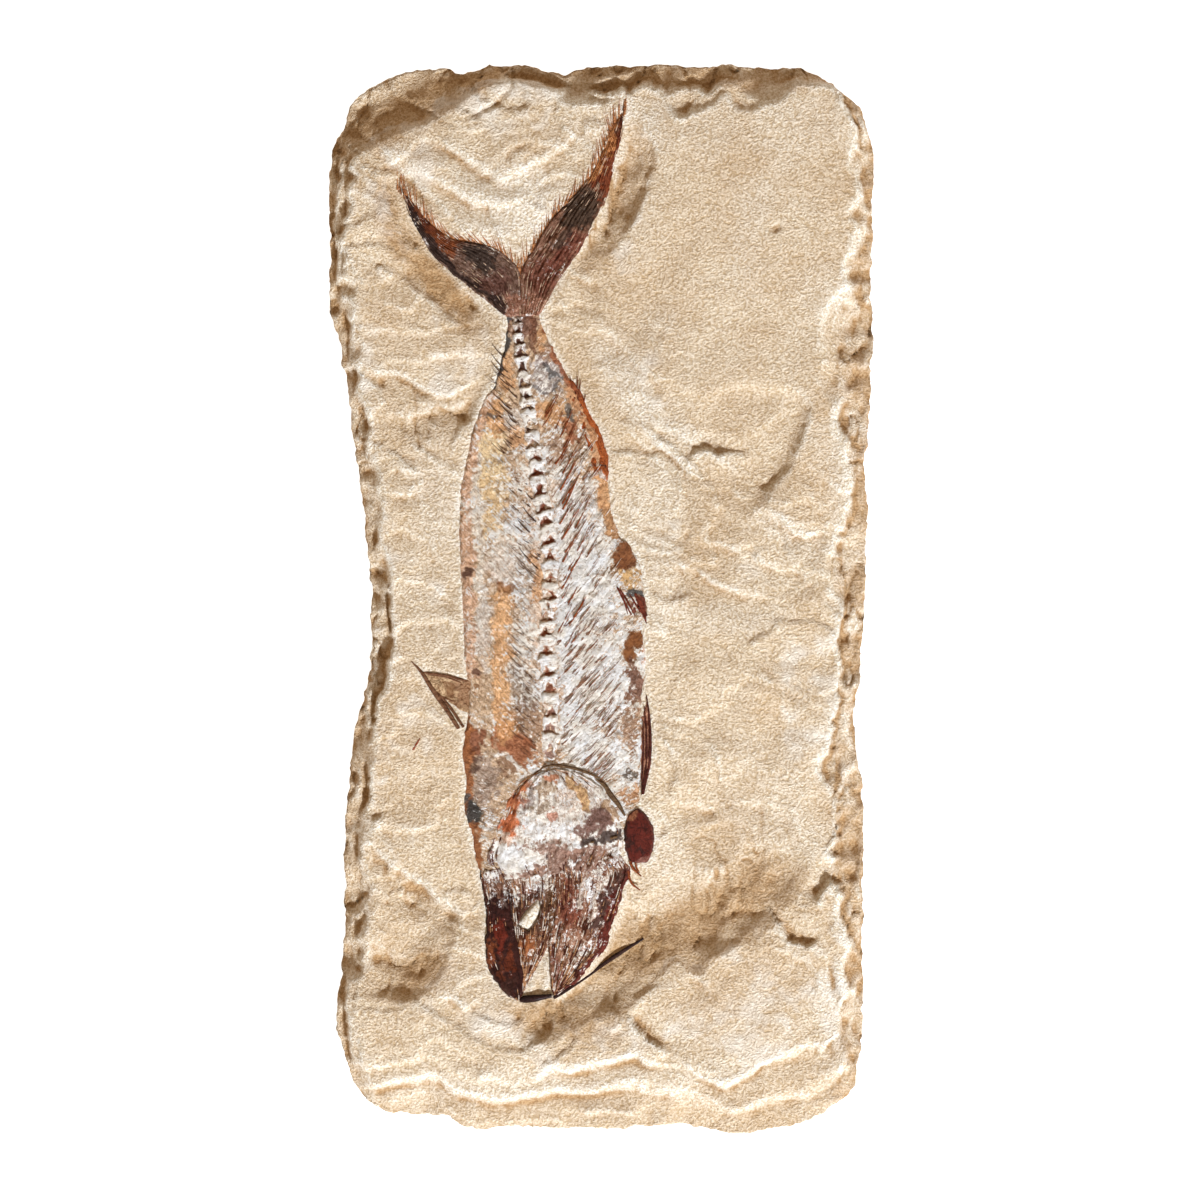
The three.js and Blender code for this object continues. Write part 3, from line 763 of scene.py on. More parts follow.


# Pale patches: chalky broken stone, and painted light on the mound between the tail's lobes and on the south bevel,
# which faces the lamp.
CHALK_AND_LIGHT_PATCHES = [  # middle, half-widths, turn in degrees, share
    ((-24, 110), (21, 15), 0, 0.6), ((-58, 124), (6, 5), 40, 0.5), ((10, 134), (10, 9), 0, 0.5),
    ((6, 62), (9, 16), 20, 0.6), ((14, 10), (10, 34), 0, 0.4), ((-47, 20), (9, 50), 0, 0.25),
    ((26, 44), (16, 4), -30, 0.4), ((52, 18), (14, 6), -20, 0.5), ((34, -6), (22, 6), 0, 0.4),
    ((36, -114), (20, 12), 20, -0.5), ((-10, -136), (62, 7), 2, 0.4), ((64, -118), (6, 18), 0, 0.3),
    ((68, 20), (5, 60), 0, 0.3),
]
# Brown painted shade in the trenches beside the tail, on the ledges behind it, on the slope and dished wall round the
# head and under the south rim; the last patch only warms the south plateau's tone.
PAINTED_SHADE_PATCHES = [
    ((-46, 88), (6, 20), 38, 0.75), ((-60, 107), (5, 14), 0, 0.7), ((6, 107), (6, 21), -22, 0.12),
    ((-52, 137), (28, 7), 24, 0.65), ((10, 146), (66, 4), 0, 0.5),
    ((24, -92), (36, 9), 30, 0.6), ((-49, -105), (12, 8), 30, 0.6), ((-13, -118), (21, 7), -4, 0.6),
    ((38, -114), (24, 13), 20, 0.22),
]
SHADED_WALL = 5  # steps at least this wide get painted shade on their walls
fall_y, fall_x = np.gradient(softened(face, 1))
steep = np.hypot(fall_x / np.gradient(X, axis=1), fall_y / np.gradient(Y, axis=0))
proud = softened(face, 1) - softened(face, 14)
chalk = 0.45 * ease(rumple(X, Y, 22, 83, 3), 0, 0.8) - 0.2
beside_fish = 0.5 * (1 - ease(gap, 0.4, 2.6))
# Steep places count as chalky, sharp edges (proud) get a painted highlight, and beside the fish the stone is paler.
chalk_and_light = np.clip(ease(steep, 0.3, 0.9) * 0.55 + ease(proud, 0.03, 0.4) * 0.8 + beside_fish + chalk, 0, 1)
shaded_rim = broken * ease(inset["belly"], 14, 4) * ease(rumple(X, Y, 6, 84, 3), -0.5, 0.5)
# Hollows and crevices are browned, the belly-side rim gets painted shade, and every bevel a brown tone.
dust_and_shade = np.clip(ease(-proud, 0.08, 0.7) + 0.8 * crevice + 0.5 * shaded_rim + 0.22 * broken, 0, 1)
for tone, field in ((CHALK_AND_LIGHT_PATCHES, chalk_and_light), (PAINTED_SHADE_PATCHES, dust_and_shade)):
    for at, half, turn, share in tone:
        reach = from_middle(*frayed(X - at[0], Y - at[1], 2.5, 9, 87), half, turn)
        field += share * (1 - ease(reach, 0.5, 1.2))
chalk_and_light, dust_and_shade = np.clip(chalk_and_light, 0, 1), np.clip(dust_and_shade, 0, 1)
# Painted shade: the wall below each wide step is browned and loses its chalk.
for points, _, edge in STEPS:
    if edge >= SHADED_WALL:
        reach, side, drop = nearest(X, Y, smooth_line(points, 60))
        wall = np.exp(-((reach / edge) ** 2)) * ease(np.abs(drop), 0.3, 1.6) * (side < 0)
        dust_and_shade = np.maximum(dust_and_shade, 0.34 * wall)
        chalk_and_light = chalk_and_light * (1 - 0.6 * wall)
off_plateau = ease(np.hypot((X - 46) / 30, (Y - 92) / 58), 0.8, 1.2)
uneven = (0.35 + 0.65 * ease(rumple(X, Y, 20, 86, 2), -0.5, 0.5)) * off_plateau
uneven = uneven * (1 - broken) * ease(gap, 1, 5)
print("fresh stone on", round(float((chalk_and_light > 0.5).mean() * 100)), "% of the face")

# %% Node helpers and the grain that every surface shares
def add(tree, kind, settings=(), **inputs):
    """A shader node with its settings made, and its inputs linked where they are sockets or set where not."""
    node = tree.nodes.new("ShaderNode" + kind)
    for key, value in dict(settings).items():
        setattr(node, key, value)
    for key, value in inputs.items():
        socket = node.inputs[key.replace("_", " ")]
        if isinstance(value, bpy.types.NodeSocket):
            tree.links.new(value, socket)
        else:
            socket.default_value = value
    return node


def blended(tree, share, first, second, how="MIX"):
    """The two colours mixed. share and the colours are sockets or values."""
    node = tree.nodes.new("ShaderNodeMix")
    node.data_type, node.blend_type = "RGBA", how
    for socket, value in zip((node.inputs[0], node.inputs[6], node.inputs[7]), (share, first, second)):
        if isinstance(value, bpy.types.NodeSocket):
            tree.links.new(value, socket)
        else:
            socket.default_value = value if isinstance(value, float) else (*value, 1)
    return node.outputs[2]


def spread(tree, value, low, high, to_low=0.0, to_high=1.0):
    """The value stretched from one range to another, and kept inside it."""
    return add(tree, "MapRange", From_Min=low, From_Max=high, To_Min=to_low, To_Max=to_high, Value=value).outputs[0]


def group(name, inputs, outputs):
    """An empty node group with named sockets, and its two end nodes."""
    tree = bpy.data.node_groups.new(name, "ShaderNodeTree")
    for key, kind in inputs.items():
        tree.interface.new_socket(key, in_out="INPUT", socket_type="NodeSocket" + kind)
    for key, kind in outputs.items():
        tree.interface.new_socket(key, in_out="OUTPUT", socket_type="NodeSocket" + kind)
    return tree, tree.nodes.new("NodeGroupInput").outputs, tree.nodes.new("NodeGroupOutput").inputs


def weighed(tree, *terms):
    """The sum of values, each times its weight."""
    total = 0.0
    for terms_left in terms:
        node = add(tree, "Math", {"operation": "MULTIPLY_ADD"})
        for socket, part in zip(node.inputs, (*terms_left, total)):
            if isinstance(part, bpy.types.NodeSocket):
                tree.links.new(part, socket)
            else:
                socket.default_value = part
        total = node.outputs[0]
    return total


grain, given, made = group("Stone grain", {"Vector": "Vector", "Fineness": "Float"}, {"Height": "Float", "Fleck": "Float"})
fine = add(grain, "TexNoise", Vector=given["Vector"], Scale=given["Fineness"], Detail=3.0, Roughness=0.65).outputs[0]
wider = add(grain, "Math", {"operation": "MULTIPLY"}, Value=given["Fineness"])
wider.inputs[1].default_value = 0.6
wide = add(grain, "TexNoise", Vector=given["Vector"], Scale=wider.outputs[0], Detail=3.0, Roughness=0.6).outputs[0]
pebbles = add(grain, "TexVoronoi", Vector=given["Vector"], Scale=wider.outputs[0]).outputs["Distance"]
pile = weighed(grain, (spread(grain, fine, 0.3, 0.7), 0.55), (spread(grain, wide, 0.3, 0.7), 0.17), (spread(grain, pebbles, 0.8, 0.0), 0.28))
grain.links.new(pile, made["Height"])
grain.links.new(spread(grain, pile, 0.3, 0.62), made["Fleck"])


def new_material(name):
    """An empty material, its tree, its shader, and a source of object coordinates."""
    material = bpy.data.materials.new(name)
    material.use_nodes = True
    tree = material.node_tree
    return material, tree, tree.nodes["Principled BSDF"], add(tree, "TexCoord").outputs["Object"]


def painted(tree, name, channel="Fac"):
    """Reads a number or a colour kept at the points of the mesh."""
    return add(tree, "Attribute", {"attribute_name": name}).outputs[channel]


print("grain group ready")

# %% Limestone
stone, tree, shader, place = new_material("limestone")
texture = add(tree, "Group", {"node_tree": grain}, Vector=place, Fineness=1700.0).outputs
cloud = add(tree, "TexNoise", Vector=place, Scale=45.0, Detail=5.0, Roughness=0.6).outputs[0]
weathered = blended(tree, spread(tree, cloud, 0.35, 0.66), (0.78, 0.63, 0.455), (0.90, 0.79, 0.63))
# Chalk and painted light whiten the stone.
colour = blended(tree, painted(tree, "chalk_and_light"), weathered, (0.98, 0.93, 0.83))
# Brown for dust in hollows and for painted shade on walls, trenches and ledges.
colour = blended(tree, painted(tree, "dust_and_shade"), colour, (0.56, 0.37, 0.20))
speckle = blended(tree, texture["Fleck"], (0.73, 0.63, 0.50), (1.06, 1.06, 1.07))
colour = blended(tree, 1.0, colour, speckle, "MULTIPLY")
shader.inputs["Roughness"].default_value = 0.93
shader.inputs["Specular IOR Level"].default_value = 0.2
wisps = add(tree, "TexNoise", Vector=place, Scale=150.0, Detail=4.0, Roughness=0.6, Distortion=0.5).outputs[0]
scuffed = weighed(tree, (painted(tree, "uneven"), wisps), (spread(tree, cloud, 0.4, 0.6), 0.12))
colour = blended(tree, spread(tree, scuffed, 0.5, 0.7, 0.0, 0.45), colour, (1.0, 0.96, 0.89))
relief = add(tree, "Bump", Strength=1.0, Distance=0.00068, Height=texture["Height"]).outputs[0]
tree.links.new(colour, shader.inputs["Base Color"])
tree.links.new(relief, shader.inputs["Normal"])
FINISHES["limestone"] = stone
slab = finished(shell, "slab", "limestone", "limestone_slab")
for name, field in (("chalk_and_light", chalk_and_light), ("dust_and_shade", dust_and_shade), ("uneven", uneven)):
    values = np.full(len(slab.data.vertices), 0.25)
    values[: field.size] = field.ravel()
    slab.data.attributes.new(name, "FLOAT", "POINT").data.foreach_set("value", values)

# %% [markdown]
# ## Laying plates and rods on the bed
#
# A fossil bone is a thin crust that follows the bedding plane. So a plate is a grid stretched between
# its two lines and laid at the height of the bed: sunk a little at its rim, and crowned in the middle.
# Its border is turned down and closed underneath. Fin rays, ribs and spines are thin tapered rods, and
# a curve with a round section makes those. Both kinds carry a colour at every point, called tint.

# %% Plates and rods
def srgb(*levels):
    """A colour given as it looks on a screen, 0 to 255, as the linear values that shaders use."""
    part = np.array(levels) / 255
    return np.where(part < 0.04045, part / 12.92, ((part + 0.055) / 1.055) ** 2.4)


def stained(x, y, base, stains, seed=90):
    """Colours of points: ragged soft-edged stains, one over another, on a base colour."""
    colour = np.ones(x.shape + (3,)) * srgb(*base)
    px, py = frayed(*frayed(x, y, 1.3, 4, seed), 0.6, 1.2, seed + 2)
    crumbly = 0.28 * rumple(x, y, 0.9, seed + 4, 2)
    for where, half, turn, tint, share in stains:
        if isinstance(where, tuple):
            reach = from_middle(px - where[0], py - where[1], half, turn)
        else:
            reach = nearest(px, py, np.array([(*point, 0) for point in where], float))[0] / half
        colour += (srgb(*tint) - colour) * (share * (1 - ease(reach + crumbly, 0.72, 1.12)))[..., None]
    return colour


SKIRT = 1.6  # how far a plate's border is turned down


def laid_between(name, cols, rows, grow=0.5, ragged=0.45):
    """Points of a plate's grid, with how far each is across and along it, and its distance to the rim in mm."""
    back, belly = (smooth_line(line, rows + 1)[:, None, :2] for line in SIDES[name])
    across = np.linspace(0, 1, cols + 1)[None, :]
    wide = np.hypot(*(belly - back).transpose(2, 0, 1)) + 0.01
    reach = across + (2 * across - 1) * np.minimum(grow / wide, 0.3)
    points = back * (1 - reach[..., None]) + belly * reach[..., None]
    for end, inner in ((0, 1), (-1, -2)):
        way = points[end] - points[inner]
        points[end] += 0.6 * grow * way / (np.hypot(*way.T)[:, None] + 0.01)
    along = np.linspace(0, 1, rows + 1)[:, None] + 0 * across
    width = np.hypot(*(belly - back).transpose(2, 0, 1))
    length = np.hypot(*np.diff(points[:, cols // 2], axis=0).T).sum()
    rim = np.minimum(np.minimum(across, 1 - across) * width, 3 * np.minimum(along, 1 - along) * length)
    tattered = ragged * (1 - ease(rim, 0, 2.4)) * ease(width, 0, 6)
    x, y = points[..., 0], points[..., 1]
    return x + tattered * rumple(x, y, 1.3, 95), y + tattered * rumple(x, y, 1.3, 96), across + 0 * along, along, rim


def sheet(name, x, y, lift, tint, streak, film_and_glint, slot, *nodes):
    """Makes a plate from arrays of points: lift is its height over the bed, streak its grain directions."""
    rows, cols = x.shape[0] - 1, x.shape[1] - 1
    z = np.minimum(wide_relief(x, y) + lift, TOP)
    bm = bmesh.new()
    layers = bm.verts.layers
    tints, streaks, film_glint_layer = layers.float_color.new("tint"), layers.float_vector.new("streak"), layers.float.new("film_and_glint")
    bmesh.ops.create_grid(bm, x_segments=cols, y_segments=rows, size=0.5)
    for vert in bm.verts:
        i, j = round((vert.co.x + 0.5) * cols), round((vert.co.y + 0.5) * rows)
        vert.co = (x[j, i], y[j, i], z[j, i])
        vert[tints] = (*tint[j, i], 1)
        vert[streaks] = (streak[0][j, i], streak[1][j, i], 0)
        vert[film_glint_layer] = film_and_glint[j, i]
    skirt_top = [edge for edge in bm.edges if edge.is_boundary]
    lowered = bmesh.ops.extrude_edge_only(bm, edges=skirt_top)["geom"]
    for item in lowered:
        if isinstance(item, bmesh.types.BMVert):
            item.co.z -= SKIRT
    bmesh.ops.contextual_create(bm, geom=[e for e in lowered if isinstance(e, bmesh.types.BMEdge) and e.is_boundary])
    bmesh.ops.remove_doubles(bm, verts=bm.verts, dist=0.002)
    bmesh.ops.recalc_face_normals(bm, faces=bm.faces)
    return finished(bm, name, slot, *nodes)


def on_stone(x, y):
    """The height of the sculpted stone under a rod, evened out, since a rod bridges the small hollows."""
    heights = [face.flat[((X - px) ** 2 + (Y - py) ** 2).argmin()] for px, py in zip(x, y)]
    share = np.linspace(0, 1, len(heights))
    return np.polyval(np.polyfit(share, heights, 2), share)


def rods(name, lines, tint, slot, *nodes, lift=0.25, steps=9, bed=wide_relief):
    """Thin rods along lines of (x, y, thickness) points, lying on the bed."""
    curve = bpy.data.curves.new(name, "CURVE")
    curve.dimensions, curve.bevel_depth, curve.bevel_resolution, curve.use_fill_caps = "3D", MM, 1, True
    for line in lines:
        run = smooth_line(line, steps)
        z = np.minimum(bed(run[:, 0], run[:, 1]) + lift, TOP)
        spline = curve.splines.new("POLY")
        spline.points.add(steps - 1)
        for point, (x, y, thick), height in zip(spline.points, run, z):
            point.co, point.radius = (x * MM, y * MM, height * MM, 1), max(thick, 0.05) / 2
    holder = bpy.data.objects.new(name, curve)
    bpy.context.collection.objects.link(holder)
    bpy.context.view_layer.update()
    mesh = bpy.data.meshes.new_from_object(holder.evaluated_get(bpy.context.evaluated_depsgraph_get()))
    bpy.data.objects.remove(holder)
    bm = bmesh.new()
    bm.from_mesh(mesh)
    bpy.data.meshes.remove(mesh)
    bmesh.ops.scale(bm, vec=(1 / MM, 1 / MM, 1 / MM), verts=bm.verts)
    bmesh.ops.recalc_face_normals(bm, faces=bm.faces)
    layers = bm.verts.layers
    tints, streaks, film_glint_layer = layers.float_color.new("tint"), layers.float_vector.new("streak"), layers.float.new("film_and_glint")
    for vert in bm.verts:
        vert[tints], vert[streaks], vert[film_glint_layer] = (*srgb(*tint), 1), (vert.co.x, vert.co.y, 0), 0.12
    return finished(bm, name, slot, *nodes)


print("ready to lay bones")

# %% [markdown]
# ## Mineralised bone and skin
#
# The bones have turned to brown and black mineral, and a silvery film of skin and scales lies between
# them. Up close all of it is streaked and flecked: dark lines run along the grain of each bone, and
# small pale flecks stand for the film where it has lifted, with painted highlights where it would catch
# the lamp. One node group draws that over whatever tint a piece carries. Each finish then adds its own
# gloss and depth.

# %% The fossil surface group and its finishes
group_sockets = {"Tint": "Color", "Silver": "Float", "Streak": "Vector", "Vector": "Vector", "Lines": "Float"}
fossil, given, made = group("Fossil surface", group_sockets, {"Color": "Color", "Height": "Float", "Roughness": "Float"})
drawn_out = add(fossil, "Mapping", Vector=given["Streak"], Scale=(0.22, 1.0, 1.0)).outputs[0]
lines = add(fossil, "TexNoise", Vector=drawn_out, Scale=1.15, Detail=5.0, Roughness=0.7, Distortion=0.3).outputs[0]
lines = spread(fossil, lines, 0.33, 0.67)
crumbs = add(fossil, "TexNoise", Vector=given["Vector"], Scale=1050.0, Detail=4.0, Roughness=0.7, Distortion=0.8).outputs[0]
crumbs = spread(fossil, crumbs, 0.33, 0.67)
curls = add(fossil, "TexNoise", Vector=given["Vector"], Scale=430.0, Detail=3.0, Roughness=0.62, Distortion=1.1).outputs[0]
off_middle = add(fossil, "Math", {"operation": "ABSOLUTE"}, Value=weighed(fossil, (curls, 1.0), (-0.5, 1.0)))
whole = spread(fossil, off_middle.outputs[0], 0.004, 0.03)
height = weighed(fossil, (crumbs, 0.45), (lines, 0.4), (whole, 0.25))
fossil.links.new(height, made["Height"])
mottle = blended(fossil, crumbs, (0.84, 0.7, 0.58), (1.34, 1.34, 1.34))
colour = blended(fossil, 1.0, given["Tint"], mottle, "MULTIPLY")
darker = blended(fossil, 1.0, given["Tint"], (0.42, 0.27, 0.18), "MULTIPLY")
pit_share = add(fossil, "Math", {"operation": "MULTIPLY"}, Value=spread(fossil, crumbs, 0.32, 0.12))
fossil.links.new(given["Lines"], pit_share.inputs[1])
colour = blended(fossil, pit_share.outputs[0], colour, darker)
line_share = add(fossil, "Math", {"operation": "MULTIPLY"}, Value=spread(fossil, lines, 0.4, 0.16))
fossil.links.new(given["Lines"], line_share.inputs[1])
colour = blended(fossil, line_share.outputs[0], colour, darker)
crack_share = add(fossil, "Math", {"operation": "MULTIPLY"}, Value=spread(fossil, whole, 1.0, 0.0, 0.0, 0.8))
fossil.links.new(given["Lines"], crack_share.inputs[1])
colour = blended(fossil, crack_share.outputs[0], colour, darker)
patches = spread(fossil, curls, 0.35, 0.65)
# The pale film colour covers the silvery film and painted highlights where it would catch the lamp; those places are
# also glossier.
glint_share = weighed(fossil, (crumbs, 0.36), (lines, 0.3), (patches, 0.26), (whole, 0.08), (given["Silver"], 1.0))
shine = spread(fossil, glint_share, 0.96, 1.14)
warmth = add(fossil, "TexNoise", Vector=given["Vector"], Scale=160.0, Detail=3.0, Roughness=0.6).outputs[0]
film_glint_tone = blended(fossil, spread(fossil, warmth, 0.4, 0.6), (0.95, 0.88, 0.78), (0.93, 0.92, 0.91))
colour = blended(fossil, shine, colour, film_glint_tone)
fossil.links.new(colour, made["Color"])
fossil.links.new(spread(fossil, shine, 0.0, 1.0, 0.6, 0.38), made["Roughness"])


def fossil_finish(name, line_strength, depth, gloss, coat):
    """A material over the group. depth is its relief in metres, gloss its specular level."""
    material, tree, shader, place = new_material(name)
    surface = add(tree, "Group", {"node_tree": fossil}, Tint=painted(tree, "tint", "Color"), Silver=painted(tree, "film_and_glint"),
                  Streak=painted(tree, "streak", "Vector"), Vector=place, Lines=line_strength).outputs
    tree.links.new(surface["Color"], shader.inputs["Base Color"])
    tree.links.new(surface["Roughness"], shader.inputs["Roughness"])
    relief = add(tree, "Bump", Strength=1.0, Distance=depth, Height=surface["Height"]).outputs[0]
    tree.links.new(relief, shader.inputs["Normal"])
    shader.inputs["Specular IOR Level"].default_value = gloss
    shader.inputs["Coat Weight"].default_value = coat
    shader.inputs["Coat Roughness"].default_value = 0.2
    return material


for name, line_strength, depth, gloss, coat in (
    ("scaly_film", 0.5, 0.0007, 0.3, 0.0),
    ("pale_bone", 0.6, 0.0006, 0.3, 0.0),
    ("brown_bone", 0.85, 0.0006, 0.2, 0.0),
    ("red_bone", 0.95, 0.0005, 0.2, 0.15),
    ("dark_bone", 0.95, 0.0005, 0.15, 0.06),
):
    FINISHES[name] = fossil_finish(name, line_strength, depth, gloss, coat)
print("finishes so far:", ", ".join(FINISHES))

# %% [markdown]
# ## The trunk
#
# The body is a film of skin, scales and flesh between the bones. Its colours lie in long bands that
# run from tail to head: a rusty line along the back, tan and orange flesh under it, silver skin about
# the backbone, and brown patches along the belly. Its grain runs out from the backbone towards the
# tail on both sides, like a herringbone, so the streaks are measured along that slant.

# %% Lay the trunk's film
BACKBONE = [
    (-23.6, 79), (-23.4, 74), (-22.4, 67), (-21.2, 58), (-20, 49.5), (-18.8, 41), (-17.4, 31), (-15.4, 21),
    (-14.4, 12), (-14.3, 4), (-15.1, -5), (-15.3, -14), (-14.7, -24), (-14.1, -33), (-14.8, -45),
]
WHITE, SILVER, BLUE, GREY = (240, 236, 230), (222, 214, 206), (192, 198, 210), (158, 148, 140)
TAN, YELLOW, OLIVE, ORANGE = (214, 188, 158), (248, 226, 182), (220, 188, 138), (228, 176, 124)
RUST, BROWN, PLUM = (164, 94, 54), (120, 76, 52), (142, 102, 86)
UMBER, BLACK, SLATE, AMBER = (86, 52, 36), (52, 38, 32), (84, 86, 88), (140, 86, 42)
TRUNK_STAINS = [
    ((-14, 5), (11, 34), 0, WHITE, 0.5),
    ((-4, 4), (7, 30), 0, (230, 216, 196), 0.6),
    ([(-18.4, 32), (-15, 16), (-14.6, 0), (-15.2, -16), (-14.4, -32), (-15, -44)], 5, 0, (226, 190, 158), 0.4),
    ((-31, 36), (5, 22), 0, YELLOW, 0.9),
    ((-30, 26), (4, 9), 0, OLIVE, 0.5),
    ((-28, 10), (5, 8), 0, WHITE, 0.7),
    ((-30.6, 51), (4, 6), 20, ORANGE, 0.85),
    ((-26.5, 64), (1.8, 6), 0, ORANGE, 0.7),
    ((-24, 50), (4, 4), 0, WHITE, 0.6),
    ((-23, 45), (3, 3), 0, ORANGE, 0.6),
    ((-15, 63), (5, 6), 20, BLUE, 0.6),
    ((-15.6, 68), (2.6, 3), 20, PLUM, 0.5),
    ((-14, 52), (6, 4), 0, ORANGE, 0.8),
    ((-8.5, 47), (2.4, 4), 20, RUST, 0.8),
    ((-12, 40), (3.5, 5), 20, PLUM, 0.45),
    ((-22, 77), (5, 6), 0, PLUM, 0.9),
    ((-15.6, 75), (2, 6), -18, ORANGE, 0.75),
    ([(-19.6, 80), (-18.8, 75), (-19, 70)], 1.2, 0, BROWN, 0.8),
    ([(-27, 79), (-26.8, 72), (-28.5, 66), (-30.2, 60)], 1.0, 0, SLATE, 0.95),
    ([(-35.5, 51.4), (-32.5, 50.6), (-30, 51.6)], 0.9, 0, SLATE, 0.8),
    ([(-9, 53.5), (-7.4, 50)], 0.9, 0, SLATE, 0.8),
    ([(-16, 66), (-13.4, 63), (-10.6, 61.6)], 0.8, 0, SLATE, 0.8),
    ([(-18, 60), (-14, 58), (-12, 60)], 0.6, 0, SLATE, 0.6),
    ([(-31.8, 57), (-34, 51), (-35.6, 45), (-36.7, 38), (-37.5, 30), (-37.8, 20), (-37.6, 10), (-37.2, 0),
      (-36.8, -10), (-36.6, -20)], 2.3, 0, (222, 184, 154), 0.9),
    ([(-34.2, 40), (-34.6, 28), (-34.2, 14), (-33.8, 2), (-33.4, -10)], 1.3, 0, (240, 232, 218), 0.95),
    ((-37.6, 7), (1.5, 1.4), 0, UMBER, 0.9),
    ((-35.4, -20), (1.4, 1), 0, UMBER, 0.9),
    ([(-14.6, 74), (-12.4, 69.2), (-10.6, 64.5), (-8.2, 60.6)], 1.5, 0, RUST, 0.85),
    ([(-7.6, 57.6), (-4.6, 52.6), (-3, 48.5), (-0.8, 44), (0, 40), (0.2, 35.8)], 2.5, 0, (212, 160, 116), 0.9),
    ([(0.6, 33), (1.6, 26)], 1.6, 0, ORANGE, 0.85),
    ([(2, 23), (3.6, 17.5)], 1.8, 0, (196, 148, 100), 0.9),
    ([(-3, 34), (-1.6, 26), (-0.4, 17), (1.4, 6)], 1.1, 0, WHITE, 0.9),
    ((6, 11.6), (2.8, 4), 0, (138, 84, 44), 0.97),
    ((8, 5.2), (4, 3.2), 0, (220, 182, 126), 0.95),
    ((9.6, 1.6), (2, 1.8), 0, SLATE, 0.95),
    ([(-28, 2), (-27.7, -12), (-28, -24), (-27.6, -36)], 2.8, 0, (238, 192, 142), 0.9),
    ((-27.6, 3.4), (3.6, 2), 0, AMBER, 0.7),
    ([(-19, 12), (-18.6, 0)], 1.5, 0, (224, 176, 128), 0.8),
    ((-33, -8), (2, 12), 0, SILVER, 0.7),
    ((-22, -25), (4, 8), 20, GREY, 0.6),
    ((-21, -35), (5, 6), 0, BROWN, 0.45),
    ((0, -34), (10, 14), -20, (214, 200, 184), 0.6),
    ((8.8, -13.4), (2, 5.4), -28, AMBER, 0.98),
    ((11.6, -15), (1, 3), 0, (214, 162, 126), 0.8),
    ((9, -23), (3, 6.6), 0, (122, 84, 70), 0.9),
    ((7.6, -36), (3, 9), 0, (172, 134, 106), 0.7),
    ((3.5, -45), (3, 4), 0, WHITE, 0.6),
    ((8, -49), (2.4, 1.6), 0, SLATE, 0.8),
    ((8, -55), (3, 3), 0, (206, 154, 108), 0.7),
    ((-24, -41), (7.5, 4.6), -28, RUST, 0.85),
    ((-26, -36.5), (3, 4), 0, ORANGE, 0.8),
    ((-35.8, -41), (3, 5), 0, (140, 80, 50), 0.9),
    ((-32.6, -52), (3.6, 9), 0, (170, 152, 140), 0.8),
    ([(-37.6, -34), (-38, -46), (-37, -56), (-35.8, -64), (-34.6, -76)], 1.9, 0, (164, 104, 60), 0.95),
    ((-26, -47), (3.6, 2.4), 0, (150, 116, 90), 0.85),
    ([(-30, -44.2), (-26, -44.6), (-22.6, -47.6)], 0.6, 0, WHITE, 0.9),
    ((-35.4, -60), (3, 3.2), 0, (62, 64, 64), 0.95),
    ((-38, -56), (1.8, 1.6), 0, SLATE, 0.9),
    ((-35.4, -46.5), (1.8, 1.5), 0, UMBER, 0.8),
]

x, y, _, _, rim = laid_between("trunk", 150, 420, 0.4)
spine = smooth_line([(*point, 0) for point in BACKBONE], 60)
spine_gap = nearest(x, y, spine)[0]
slant = y - 1.15 * spine_gap * (1 - 0.35 * ease(-y, 10, 40))
crust = ease(rim, 0, 1.6)
lift = -0.45 + 0.9 * crust + 0.25 * np.exp(-((spine_gap / 6) ** 2)) - 0.9 * np.exp(-((spine_gap / 2.2) ** 4))
lift += crust * (0.18 * rumple(spine_gap * 0.35, slant, 1.7, 101, 2) + 0.24 * rumple(x, y, 1.5, 102, 2))
lift += crust * (0.3 * rumple(x, y, 6, 103, 2) + 0.3 * (0.5 - np.abs(rumple(x, y, 4, 105, 3))))
tint = stained(x, y, TAN, TRUNK_STAINS)
film_left = 0.4 + 0.2 * np.exp(-(((spine_gap - 6) / 7) ** 2)) * ease(40 - y, -25, 10)
film_left += 0.2 * ease(x, -16, -8) * ease(34 - y, 0, 20) + 0.14 * rumple(x, y, 9, 104)
paleness = ease(tint.mean(axis=-1), 0.1, 0.6)
richness = ease(np.ptp(tint, axis=-1) / tint.max(axis=-1), 0.5, 0.85)
# Where the silvery film shows, with painted highlights on it; less where the stains are rich.
film_and_glint = (film_left - 0.1 * np.exp(-((spine_gap / 4.5) ** 2))) * (0.5 + 0.5 * paleness) - 0.17 * richness
sheet("trunk_skin", x, y, lift, tint, (spine_gap, slant), film_and_glint, "scaly_film", "trunk")

# %% [markdown]
# ## The backbone
#
# Each vertebra of a bony fish is an hourglass on its side: two flared rims with a pinched waist, and
# a dark hollow in the waist. The chain is one plate along the backbone, since the vertebrae touch. Its
# width, height and colour swing once for each vertebra.

